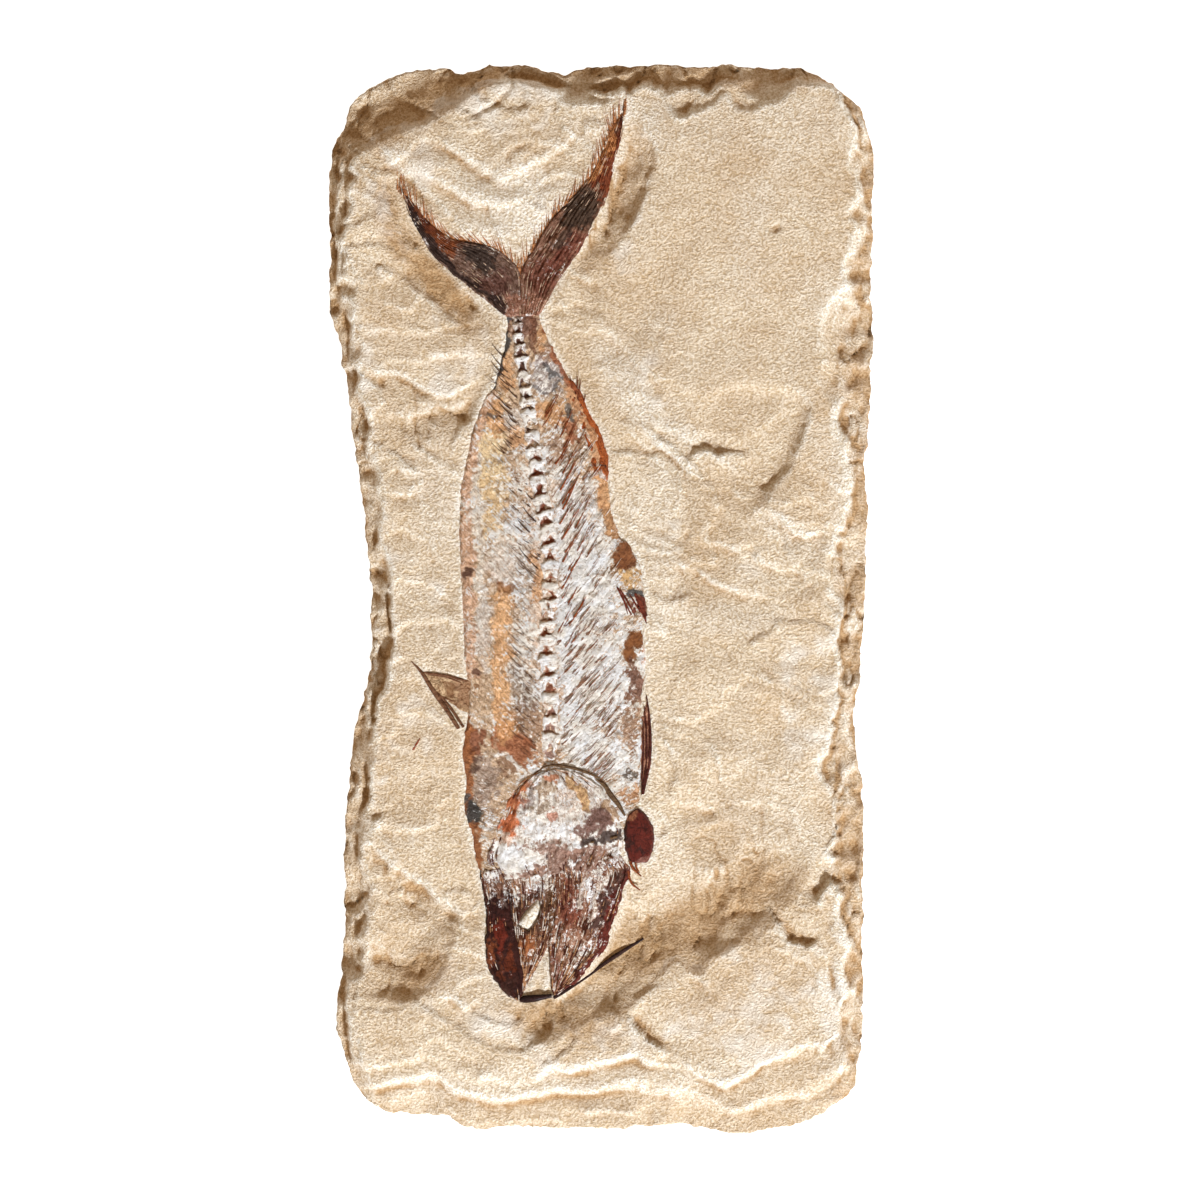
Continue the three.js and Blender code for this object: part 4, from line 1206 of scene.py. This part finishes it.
# %% Lay the chain of vertebrae
VERTEBRAE = 27
columns, rows = 18, VERTEBRAE * 16
middle = smooth_line(BACKBONE, rows + 1)
ahead = np.gradient(middle, axis=0)
ahead /= np.hypot(*ahead.T)[:, None]
share = np.linspace(0, 1, rows + 1)[:, None]
phase = (share**0.82 * VERTEBRAE + 0.16 * rumple(share * 130, share * 0, 4, 113, 2)) % 1
sideways = np.linspace(-1, 1, columns + 1)[None, :]
pinch = np.sin(np.pi * phase) ** 2
half = (1.9 + 1.5 * ease(share, 0, 0.4)) * (1 - 0.3 * pinch)
x = middle[:, :1] - ahead[:, 1:] * half * sideways
y = middle[:, 1:] + ahead[:, :1] * half * sideways
x, y = frayed(x, y, 0.55, 1.6, 112)
wavy = 0.22 * rumple(x, y, 1.5, 114, 2)
hollow = ease((phase - 0.16) / 0.5 - np.abs(sideways) / 0.85 + wavy, 0, 0.3) * (1 - ease(phase + 0.3 * wavy, 0.68, 0.8))
lift = -0.3 + ease(1 - np.abs(sideways), 0, 0.5) * (1.2 - 0.35 * pinch) - 0.7 * hollow
lift += 0.26 * rumple(x, y, 1.2, 111, 2)
lift *= ease(share, 0, 0.01) * ease(1 - share, 0, 0.01)
mark = np.where((share < 0.26)[..., None], srgb(*UMBER), srgb(132, 70, 40))
tint = stained(x, y, SILVER, [((-15, -8), (4, 30), 0, (228, 194, 160), 0.6), ((-22, 72), (3, 10), 0, PLUM, 0.7)])
faded = (hollow * (0.98 - 0.3 * ease(share, 0.8, 0.98)))[..., None]
tint = tint * (1 - faded) + mark * faded
# The film colour with painted highlight lies on each vertebra's rims, none in its dark hollow.
sheet("backbone", x, y, lift, tint, (x, y), 0.62 - 0.8 * hollow + 0.16 * ease(phase, 0.7, 0.9) - 0.2 * (1 - ease(share, 0, 0.1)) + 0.3 * wavy, "pale_bone",
      "vertebral_column")

# %% [markdown]
# ## Ribs and spines
#
# Spines rise from each vertebra on both sides and slant towards the tail. Along the belly, the real
# ribs are longer, finer and closer together. They are rods thinner than half a millimetre, broken and
# covered in places, so each one starts, ends and bends a little differently.

# %% Lay the ribs
rib_rng = np.random.default_rng(12)


def fan_of_ribs(start_y, end_y, pitch, nearest_start, furthest_end, length, rise, thick, bow):
    """Short rods that slant away from the backbone, the distances being measured from it. Below 0 is the back side."""
    made = []
    side = math.copysign(1, furthest_end)
    for level in np.arange(start_y, end_y, -pitch):
        begin = rib_rng.uniform(nearest_start, max(abs(furthest_end) - length * 0.5, nearest_start + 0.1))
        run = length * rib_rng.uniform(0.45, 1.1) / math.hypot(1, rise)
        climb = rise * rib_rng.uniform(0.85, 1.15)
        width = thick * rib_rng.uniform(0.6, 1.3)
        foot = level + rib_rng.uniform(-0.5, 0.5) * pitch
        middle_x = np.interp(-foot, [-p[1] for p in BACKBONE], [p[0] for p in BACKBONE])
        made.append([
            (middle_x + side * (begin + run * t), foot + run * t * climb + bow * t * (1 - t), width * (1.15 - 0.8 * t))
            for t in np.linspace(0, 1, 4)
        ])
    return made


rods("belly_spines", fan_of_ribs(52, -16, 1.9, 3.2, 13, 9, 1.9, 0.38, -1.5), (156, 84, 46), "brown_bone", "trunk", lift=0.78)
rods("belly_hairs", fan_of_ribs(48, -18, 0.8, 2.8, 16, 7, 1.6, 0.2, -0.8) + fan_of_ribs(-8, -52, 0.42, 2.6, 21, 9, 1.15, 0.22, -1),
     (158, 108, 78), "brown_bone", "trunk", lift=0.62)
rods("belly_gleams", fan_of_ribs(40, -50, 1.1, 2.8, 20, 6, 1.3, 0.24, -0.8), (236, 230, 222), "pale_bone", "trunk",
     lift=0.66)
rods("back_spines", fan_of_ribs(66, 4, 2.4, 2.4, -9, 6, 1.0, 0.32, -1.6), (86, 60, 48), "brown_bone", "trunk", lift=0.55)
rods("back_hairs", fan_of_ribs(62, -44, 0.8, 2.4, -11, 5, 0.9, 0.2, -1.2), (120, 88, 68), "brown_bone", "trunk", lift=0.6)

# %% [markdown]
# ## Bones of the head
#
# The head is a jumble of thin plates. Each one is laid like the trunk, thicker and smoother, with its
# streaks along its length. The lines that bound a plate give its grain for free: how far across it a
# point lies picks the streak, and how far along it says where on the streak it is.

# %% Lay the head's plates
def bone_plate(name, cols, rows, rise, base, stains, film_and_glint, slot, ridges=0, bulge=0.0, rough=0.3, grow=0.7, ragged=0.3):
    """A plate of the construction's plan, laid on the bed. ridges is how many folds run along it."""
    x, y, across, along, rim = laid_between(name, cols, rows, grow, ragged)
    width = float(np.ptp(x[rows // 2]))
    length = float(np.ptp(y[:, cols // 2]))
    line = across * width + 0.7 * rumple(x, y, 6, 121)
    crust = ease(rim, 0, 1.1)
    lift = -0.45 + (rise + 0.45) * crust + bulge * np.sin(np.pi * across) * np.sin(np.pi * along)
    lift += crust * (rough * rumple(line, along * length * 0.2, 1.3, 122, 2) + 0.6 * rough * rumple(x, y, 1.6, 123, 2))
    lift += crust * rough * (0.6 * rumple(x, y, 5, 125, 2) + 0.7 * (0.5 - np.abs(rumple(x, y, 3.4, 126, 3))))
    if ridges:
        lift += 0.16 * np.sin((across + 0.02 * rumple(x, y, 5, 127)) * ridges * 2 * np.pi) * crust
    for opening in (EYE_OPENING, SNOUT_GAP):
        lift -= 2.2 * ease(-signed_gap(x, y, opening), -0.6, 0.1)
    tint = stained(x, y, base, stains, seed=130 + cols)
    if callable(film_and_glint):
        film_and_glint = film_and_glint(x, y)
    glints = film_and_glint + 0.12 * rumple(x, y, 5, 124) - 0.14 * (1 - ease(tint.mean(axis=-1), 0.02, 0.25))
    glints = glints - 0.36 * ease(np.abs(tint - srgb(*base)).max(axis=-1), 0.12, 0.45)
    return sheet(name + "_plate", x, y, lift, tint, (along * length, line), glints, slot, name)


bone_plate("gill_cover", 130, 120, 0.7, (226, 218, 210), [
    ((-12, -75), (20, 7), 0, (158, 122, 106), 0.85),
    ((-3, -73), (9, 5), 0, (150, 116, 100), 0.8),
    ((-23, -73.4), (7, 3.2), 0, WHITE, 0.8),
    ((-27.5, -66), (5, 3), 20, (214, 170, 140), 0.6),
    ((-24.6, -57), (3, 6.4), -8, (190, 108, 58), 0.95),
    ((-25.6, -63), (3.6, 2.6), 0, (206, 118, 70), 0.95),
    ((-22.4, -52), (2.8, 2.2), 20, (196, 124, 78), 0.85),
    ((-20.6, -56), (1.4, 4), -10, (150, 140, 136), 0.7),
    ((-15.4, -53.2), (4, 2.8), 20, (200, 182, 160), 0.95),
    ((-17, -58), (3, 1.5), 20, (184, 170, 152), 0.9),
    ((-8, -57), (3.4, 3.6), 0, (224, 206, 190), 0.8),
    ((-13.4, -50), (2.2, 1), 0, (214, 150, 114), 0.9),
    ((-14.4, -61), (1.8, 1.6), 0, (206, 146, 122), 0.8),
    ([(-9, -49.6), (-6.6, -53), (-4.6, -58)], 1.2, 0, (214, 176, 124), 0.9),
    ((-1, -61.6), (4, 4.4), 24, (118, 84, 74), 0.95),
    ((-5, -65), (3, 2), 24, (132, 100, 90), 0.9),
    ([(-5.5, -68.2), (0, -67), (5, -66)], 1.2, 0, (84, 70, 66), 0.95),
    ([(1.6, -57.5), (4, -62)], 1.4, 0, (196, 164, 128), 0.8),
    ([(-29.6, -60), (-30.4, -70)], 1, 0, (112, 62, 52), 0.85),
    ((-31, -74), (1.4, 5), 0, (110, 64, 50), 0.8),
    ([(-19, -49), (-15, -47.4), (-11, -47.6)], 0.6, 0, BROWN, 0.7),
    ((2.6, -72), (3, 2), 0, SILVER, 0.6),
], lambda x, y: 0.5 + 0.1 * ease(-y, 62, 70) + 0.16 * ease(-x, 18, 24) * ease(-y, 66, 72),
   "pale_bone", bulge=0.9, rough=0.45)
bone_plate("cheek_bones", 64, 124, 0.6, (140, 104, 78), [
    ((-19, -78), (8, 4), 0, (190, 162, 146), 0.85),
    ((-21, -83), (4, 3), 0, (164, 126, 116), 0.8),
    ((-25, -86), (1.8, 4), 0, (88, 70, 66), 0.9),
    ([(-24.6, -92), (-22, -87.4), (-18.2, -83.4), (-16.4, -85.6), (-17.6, -90.4), (-20.2, -93.8), (-24.6, -92)],
     0.9, 0, (92, 60, 44), 0.9),
    ((-14.5, -84), (1.8, 6), 0, (106, 76, 50), 0.8),
    ((-21.5, -98), (2, 4), 0, (172, 104, 58), 0.8),
    ((-17, -97), (2.6, 5), 0, (142, 96, 74), 0.7),
    ((-22, -105), (1.8, 5), 0, (88, 54, 38), 0.8),
], lambda x, y: 0.38 + 0.22 * ease(y, -90, -78), "brown_bone", ridges=6)
bone_plate("lower_jaw", 96, 150, 0.8, (152, 110, 88), [
    ((-7, -74), (9, 3.4), 0, (140, 108, 94), 0.8),
    ((-9.5, -86), (3.2, 9), 4, (134, 74, 56), 0.85),
    ((-12.8, -78), (1.6, 7), 0, (110, 72, 50), 0.7),
    ((-3, -80), (2.8, 6), 12, (176, 146, 130), 0.8),
    ([(6.4, -76.6), (3, -81), (0.6, -87), (-2, -92)], 1.6, 0, (88, 64, 60), 0.9),
    # The two thin white streaks are painted highlights along the jaw's ridges.
    ([(2.4, -77), (-0.6, -83), (-3.6, -90)], 0.6, 0, WHITE, 0.9),
    ([(-4.6, -79), (-6.4, -86)], 0.5, 0, WHITE, 0.8),
    ((-8, -99), (4.4, 6), 10, (172, 134, 112), 0.8),
    ((-12.8, -104), (1.6, 6), 0, (146, 98, 86), 0.8),
    ([(7, -77.5), (5.4, -82), (3.4, -88), (1.4, -93), (-0.8, -98.5), (-5, -104.2), (-9.8, -108.6)], 1.9, 0,
     (98, 34, 24), 0.97),
], lambda x, y: 0.4 + 0.08 * ease(y, -86, -77), "red_bone", ridges=5)
bone_plate("skull_roof", 50, 140, 0.9, (58, 26, 20), [
    ((-30, -78), (4.4, 6), 0, (142, 108, 90), 0.9),
    # The small grey patch is a painted highlight.
    ((-27.6, -84), (1.6, 2.6), 0, (112, 92, 86), 0.8),
    ((-28.6, -94), (1.8, 5), 0, (112, 42, 26), 0.85),
    ((-31, -100), (1.2, 5), 0, (132, 72, 40), 0.8),
    ((-25.6, -101), (1, 5), 0, (112, 52, 28), 0.8),
    ((-27.8, -103), (0.8, 4), 0, (104, 52, 30), 0.7),
    ((-26.4, -108.4), (2, 3), 0, (66, 38, 30), 0.8),
], lambda x, y: 0.26 + 0.3 * ease(y, -90, -78), "dark_bone", ridges=4, bulge=0.4)
bone_plate("throat_plate", 44, 80, 1.0, (92, 30, 20), [
    ((11.6, -73), (3, 1.2), 0, (142, 96, 86), 0.85),
    ((7.6, -61), (1.8, 1.6), 0, (168, 112, 80), 0.8),
    ((7, -67), (0.8, 4), 0, (60, 26, 20), 0.8),
    ((11.2, -69.8), (2, 0.7), 0, (48, 26, 22), 0.7),
], 0.0, "red_bone", bulge=0.9, rough=0.07, grow=0.3)

# %% [markdown]
# ## Loose rods about the head
#
# A short thick rod closes the snout, and a long thin one sticks out past it over the bare stone. A
# curved bone borders the gill cover, and a few fine spines hang under the throat. These are the same
# tapered rods as the ribs, only thicker.

# %% Lay the rods of the head
rods("snout_rod", [[(-22.9, -112.4, 1.1), (-21.4, -112.2, 2.1), (-19, -112, 2), (-16.4, -111.6, 1.5), (-13.9, -111.2, 1)]],
     (48, 26, 24), "dark_bone", "upper_jaw_front", lift=0.1, steps=18)
rods("long_jaw_rod", [[(-13.4, -111.8, 0.9), (-11, -110.3, 1.2), (-5, -106.6, 0.8), (1, -102.2, 1.1), (6, -98.9, 1.1), (11.8, -95.3, 0.6)]],
     (54, 32, 28), "dark_bone", "upper_jaw_rod", lift=0.4, steps=26, bed=on_stone)
rods("gill_rim", [
    [(-1.6, -50.6, 0.5), (1, -52.4, 1.2), (2.6, -55, 1.5), (5, -58, 1.2), (6.6, -60.8, 0.6)],
    [(-19.5, -49.6, 0.3), (-15.5, -46.9, 0.6), (-11, -46.9, 0.8), (-5.4, -48.2, 0.8), (-0.6, -50.2, 0.5)],
    [(-4.5, -68.6, 0.6), (0, -67.6, 1), (5.4, -66.4, 0.7)],
], (112, 88, 62), "brown_bone", "shoulder_bone", lift=0.75, steps=16)
rods("throat_spines", [
    [(8, -73.6, 0.8), (8.9, -75.6, 0.8), (11.2, -77.8, 0.3)],
    [(9.6, -74, 0.6), (9.9, -75.6, 0.5), (10.6, -76.4, 0.3)],
    [(7.4, -76.4, 0.7), (8.4, -79.6, 0.7), (10.9, -81.7, 0.3)],
], (156, 84, 44), "brown_bone", "throat_plate", lift=0.2)

# %% [markdown]
# ## Fins
#
# A fin is a thin web stiffened by rays. The web is a plate with a ridge for each ray, and its streaks
# run along the rays. The two lobes of the tail are broad and dark. The small fins are mostly loose
# rays, so they get rods over a thin web that has nearly the colour of the stone.

# %% Lay the tail
bone_plate("tail_upper_lobe", 84, 130, 0.5, (124, 100, 88), [
    ((-25, 81), (4, 4), 0, (176, 132, 112), 0.85),
    ((-30, 88), (5, 5), 0, (96, 58, 50), 0.7),
    ((-45, 102.6), (8.4, 4.2), -46, (128, 70, 36), 0.97),
    ((-50.6, 108.6), (6, 2.4), -60, (134, 76, 42), 0.9),
    ((-48, 104.6), (3, 1.4), -56, (96, 46, 26), 0.8),
    ((-34.6, 96.4), (5.8, 3), -24, (66, 54, 48), 0.97),
    ([(-27, 80), (-34, 85.6), (-41, 91.4), (-46.6, 97.4), (-50.6, 103.6), (-54, 110.6)], 1.3, 0, (52, 36, 32), 0.9),
], 0.32, "dark_bone", ridges=14, ragged=0.12)
bone_plate("tail_lower_lobe", 74, 170, 0.5, (132, 98, 80), [
    ((-19.6, 81), (4, 5), 0, (176, 132, 112), 0.85),
    ((-17, 90), (4, 5), 0, (112, 62, 48), 0.7),
    ((-10, 97), (3, 9), -34, (112, 54, 40), 0.7),
    ((-5.6, 109.4), (7.4, 4.6), 46, (74, 58, 46), 0.97),
    ((-11, 101), (5, 2), 56, (60, 48, 40), 0.7),
    ((2.4, 122), (4, 11), -16, (126, 64, 36), 0.97),
    ([(-2.6, 117), (0, 123), (2, 129), (4.2, 136)], 1.5, 0, (206, 146, 94), 0.85),
    ([(3.8, 119), (5.4, 128), (6.2, 136)], 0.7, 0, (92, 46, 28), 0.8),
], 0.3, "dark_bone", ridges=11, ragged=0.12)


def fringe(line, inner, count, longest, spread_out):
    """Fine rays that run out over a lobe's inner edge and fade on the stone."""
    edge = smooth_line(line, count)[2:-1, :2]
    hairs = []
    for place, onward in zip(edge, np.gradient(edge, axis=0)):
        onward /= np.hypot(*onward)
        outward = np.array([-onward[1], onward[0]]) * inner
        way = onward + outward * rib_rng.uniform(0.5, 1) * spread_out
        way *= longest * rib_rng.uniform(0.4, 1) / np.hypot(*way)
        start = place - outward * rib_rng.uniform(0.2, 1.6)
        hairs.append([(*(start + way * t), 0.34 * (1.05 - t)) for t in (0, 0.5, 1)])
    return hairs


def splinters(plate, columns, count, longest, thickness, crowding=1.0):
    """Fine streaks along a plate's grain, crowded towards its first end by a power above 1."""
    x, y = laid_between(plate, columns, 90, 0, 0)[:2]
    made = []
    for column, start in zip(rib_rng.integers(1, columns, count), rib_rng.uniform(0, 0.94, count) ** crowding):
        stations = np.clip(90 * start + np.linspace(0, rib_rng.uniform(0.3, 1) * longest, 4), 0, 89).astype(int)
        line = [(x[row, column], y[row, column], thick) for row, thick in zip(stations, (0.1, thickness, thickness, 0.1))]
        clear = min(float(signed_gap(*np.array(line[1])[:2, None], hole)[0]) for hole in (EYE_OPENING, SNOUT_GAP))
        if clear > 0.8:
            made.append(line)
    return made


rods("tail_gleams", splinters("tail_upper_lobe", 22, 70, 5, 0.24, 1.5) + splinters("tail_lower_lobe", 18, 90, 5, 0.24, 1.4),
     (214, 188, 164), "pale_bone", "tail_lower_lobe", lift=0.52, steps=5)
HEAD_GRAIN = [("lower_jaw", 30, 1.0), ("cheek_bones", 20, 1.0), ("skull_roof", 14, 1.0), ("gill_cover", 34, 1.3)]
for shade, tone, share, slot in (
    ("dark", (92, 48, 36), 1.0, "dark_bone"),
    ("tan", (192, 146, 108), 0.8, "brown_bone"),
    ("white", (232, 222, 212), 0.7, "pale_bone"),
):
    for plate, columns, crowding in HEAD_GRAIN:
        count = int(share * (40 if plate == "skull_roof" else 110))
        slivers = splinters(plate, columns, count, 12, 0.34, crowding)
        rods(f"{plate}_{shade}_grain", slivers, tone, slot, plate, lift=0.8, steps=5)
back_fringe = fringe(SIDES["tail_upper_lobe"][1], -1, 150, 8, 0.9)
belly_fringe = fringe(SIDES["tail_lower_lobe"][0], 1, 150, 8, 0.8)
rods("tail_fringe", back_fringe + belly_fringe, (200, 140, 94), "brown_bone", "tail_lower_lobe", lift=0.1,
     bed=on_stone)
rods("tail_fringe_dark", fringe(SIDES["tail_upper_lobe"][1], -1, 60, 3, 0.7) + fringe(SIDES["tail_lower_lobe"][0], 1, 66, 3, 0.6),
     (116, 76, 54), "dark_bone", "tail_upper_lobe", lift=0.16, bed=on_stone)

# %% Lay the small fins
back_web = [(-50.2, -20.6), (-49.4, -21.6), (-48.4, -22.9), (-47.4, -24.2), (-46.2, -25.8), (-45.2, -27.2)]
back_root = [(-34, -24.2), (-33.6, -26), (-33.8, -27.8), (-34, -29.6), (-34.2, -31.4), (-34.4, -33)]
bone_plate("dorsal_fin", 22, 40, 0.12, (206, 178, 142), [((-37, -27), (5, 4), -20, (150, 108, 78), 0.7)], 0.0,
           "brown_bone")
rays = [[(*a, 0.55), ((a[0] + b[0]) / 2, (a[1] + b[1]) / 2 + 0.5, 0.8), (*b, 0.7)] for a, b in zip(back_web, back_root)]
rays += [[(-49, -21.1, 0.4), (-43, -22.2, 0.5), (-35, -25.2, 0.6)], [(-48, -22.4, 0.3), (-42, -25, 0.5), (-35, -28.6, 0.5)]]
leading = [(-53.2, -17.6, 0.25), (-50.4, -20.6, 0.9), (-47, -25.8, 1.5), (-43.4, -31, 1.3), (-40, -36.4, 1.1)]
rods("back_fin_rays", rays + [leading, [(-46.6, -25.6, 0.6), (-42.4, -30.4, 0.8), (-38.6, -36, 0.8)]],
     (124, 88, 64), "dark_bone", "dorsal_fin", lift=0.15, steps=12, bed=on_stone)
bone_plate("anal_fin", 22, 60, 0.45, (178, 96, 46), [
    ((-8, 58), (2.4, 3), 0, (150, 88, 56), 0.8), ((-7.6, 52), (1.2, 2.2), 0, (120, 110, 104), 0.6),
    ([(-3.4, 37.6), (1.6, 36.9)], 0.5, 0, BLACK, 0.9), ((-0.4, 33.4), (2, 1.2), 0, WHITE, 0.8),
], -0.02, "brown_bone")
rods("anal_rays", [
    [(-8.6, 56.4, 0.5), (-8.2, 59, 0.4), (-8.8, 62.2, 0.15)], [(-7.6, 56, 0.6), (-6.8, 59.4, 0.4), (-6.6, 62.4, 0.15)],
    [(-6.8, 55.6, 0.5), (-6.2, 58.4, 0.35), (-5.8, 61.2, 0.15)], [(-9.8, 57, 0.4), (-10.2, 60, 0.3), (-10.6, 62.8, 0.12)],
    [(-6, 53.6, 0.4), (-4.8, 55.6, 0.3), (-4.4, 57.2, 0.12)],
], (128, 66, 38), "brown_bone", "anal_fin", lift=0.3)
bone_plate("pelvic_fin", 18, 18, 0.2, (196, 170, 146), [
    ((11.2, -1.6), (2, 4), -20, (112, 48, 34), 0.95), ((9.6, 1.4), (1.6, 1), 0, SLATE, 0.8),
], 0.05, "red_bone")
rods("pelvic_rays", [
    [(4.4, 3.2, 0.5), (6, 0, 0.6), (8.4, -4.6, 0.4)], [(5.2, 2.6, 0.4), (7.2, -0.6, 0.6), (9.4, -4.8, 0.3)],
    [(5.8, 1.6, 0.3), (6.6, -1.6, 0.4), (7.4, -4.4, 0.2)], [(7.4, 2, 0.3), (9.2, -1, 0.5), (11.4, -4.6, 0.4)],
    [(9.4, 1.4, 0.8), (11, -1.6, 1.4), (12.6, -5, 0.8)], [(10.6, -2.6, 0.9), (12, -5, 0.8), (12.6, -7, 0.2)],
], (118, 54, 36), "red_bone", "pelvic_fin", lift=0.45)
bone_plate("pectoral_fin", 10, 60, 0.3, (176, 128, 104), [((13.2, -42), (0.8, 13), 0, (118, 60, 46), 0.8)], 0.02,
           "dark_bone", ridges=2)
rods("pectoral_rays", [
    [(12.6, -27, 0.25), (13.4, -33, 0.6), (13.7, -41, 0.9), (13.2, -47, 0.8), (11.6, -54.8, 0.7)],
    [(12, -30, 0.2), (12.6, -38, 0.5), (12.6, -46, 0.6), (11.4, -54.6, 0.5)],
    [(11.6, -34, 0.2), (11.8, -42, 0.4), (11.4, -50, 0.4), (11.3, -55, 0.3)],
], (84, 40, 32), "dark_bone", "pectoral_fin", lift=0.4, steps=18)
rods("bone_fleck", [[(-50.8, -39.2, 0.5), (-51.8, -40.8, 1), (-52.8, -42.4, 0.5)]], (150, 82, 58), "brown_bone",
     "dorsal_fin", lift=0.1)

# %% [markdown]
# ## Floor, light and camera
#
# The slab lies on a pale floor. One lamp stands low beyond the snout, so that it rakes across the
# relief, and the sky gives a weak warm fill. The camera hangs far above with a long lens, so the
# slab's sides stay hidden and nothing converges.

# %% Set the stage
floor_mesh = bmesh.new()
bmesh.ops.create_grid(floor_mesh, x_segments=1, y_segments=1, size=4.0)
mesh = bpy.data.meshes.new("floor")
floor_mesh.to_mesh(mesh)
floor_mesh.free()
floor = bpy.data.objects.new("floor", mesh)
bpy.context.collection.objects.link(floor)
pale, tree, shader, place = new_material("pale_floor")
shader.inputs["Base Color"].default_value = (0.6, 0.6, 0.6, 1)
shader.inputs["Roughness"].default_value = 0.8
shader.inputs["Emission Color"].default_value = (1, 1, 1, 1)
shader.inputs["Emission Strength"].default_value = 0.95
mesh.materials.append(pale)
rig.stage(floor)

world = bpy.data.worlds.new("studio")
world.use_nodes = True
world.node_tree.nodes["Background"].inputs["Color"].default_value = (1.0, 0.76, 0.54, 1)
world.node_tree.nodes["Background"].inputs["Strength"].default_value = 0.46
scene = bpy.context.scene
scene.world = world
scene.view_settings.view_transform = "Standard"


def lamp(name, direction, elevation, distance, size, power, colour):
    """A square lamp aimed at the slab. direction is in degrees, from +X towards +Y."""
    turn, lift = math.radians(direction), math.radians(elevation)
    light = bpy.data.lights.new(name, "AREA")
    light.size, light.energy, light.color = size, power, colour
    holder = bpy.data.objects.new(name, light)
    holder.location = (
        distance * math.cos(turn) * math.cos(lift),
        distance * math.sin(turn) * math.cos(lift),
        distance * math.sin(lift),
    )
    holder.rotation_euler = (math.pi / 2 - lift, 0, turn + math.pi / 2)
    bpy.context.collection.objects.link(holder)


lamp("key", -66, 36, 3.0, 0.25, 150, (0.83, 0.91, 1.0))

WIDTH_SHOWN = 0.336
CAMERA_HEIGHT = 2.4
lens = bpy.data.cameras.new("camera")
lens.sensor_width = 36
lens.lens = 36 * (CAMERA_HEIGHT - BED * MM) / WIDTH_SHOWN
lens.clip_end = 20
camera = bpy.data.objects.new("camera", lens)
camera.location = (-0.0004, -0.0004, CAMERA_HEIGHT)
bpy.context.collection.objects.link(camera)
scene.camera = camera
print("lens", round(lens.lens), "mm")

# %% Keep both boxes, and finish
bpy.context.view_layer.update()
with open("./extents.json", "w") as sizes:
    json.dump({"cad": [list(map(float, corner)) for corner in cad_box],
               "visual": [list(map(float, corner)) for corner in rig.bounds()]}, sizes)
print(open("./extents.json").read())
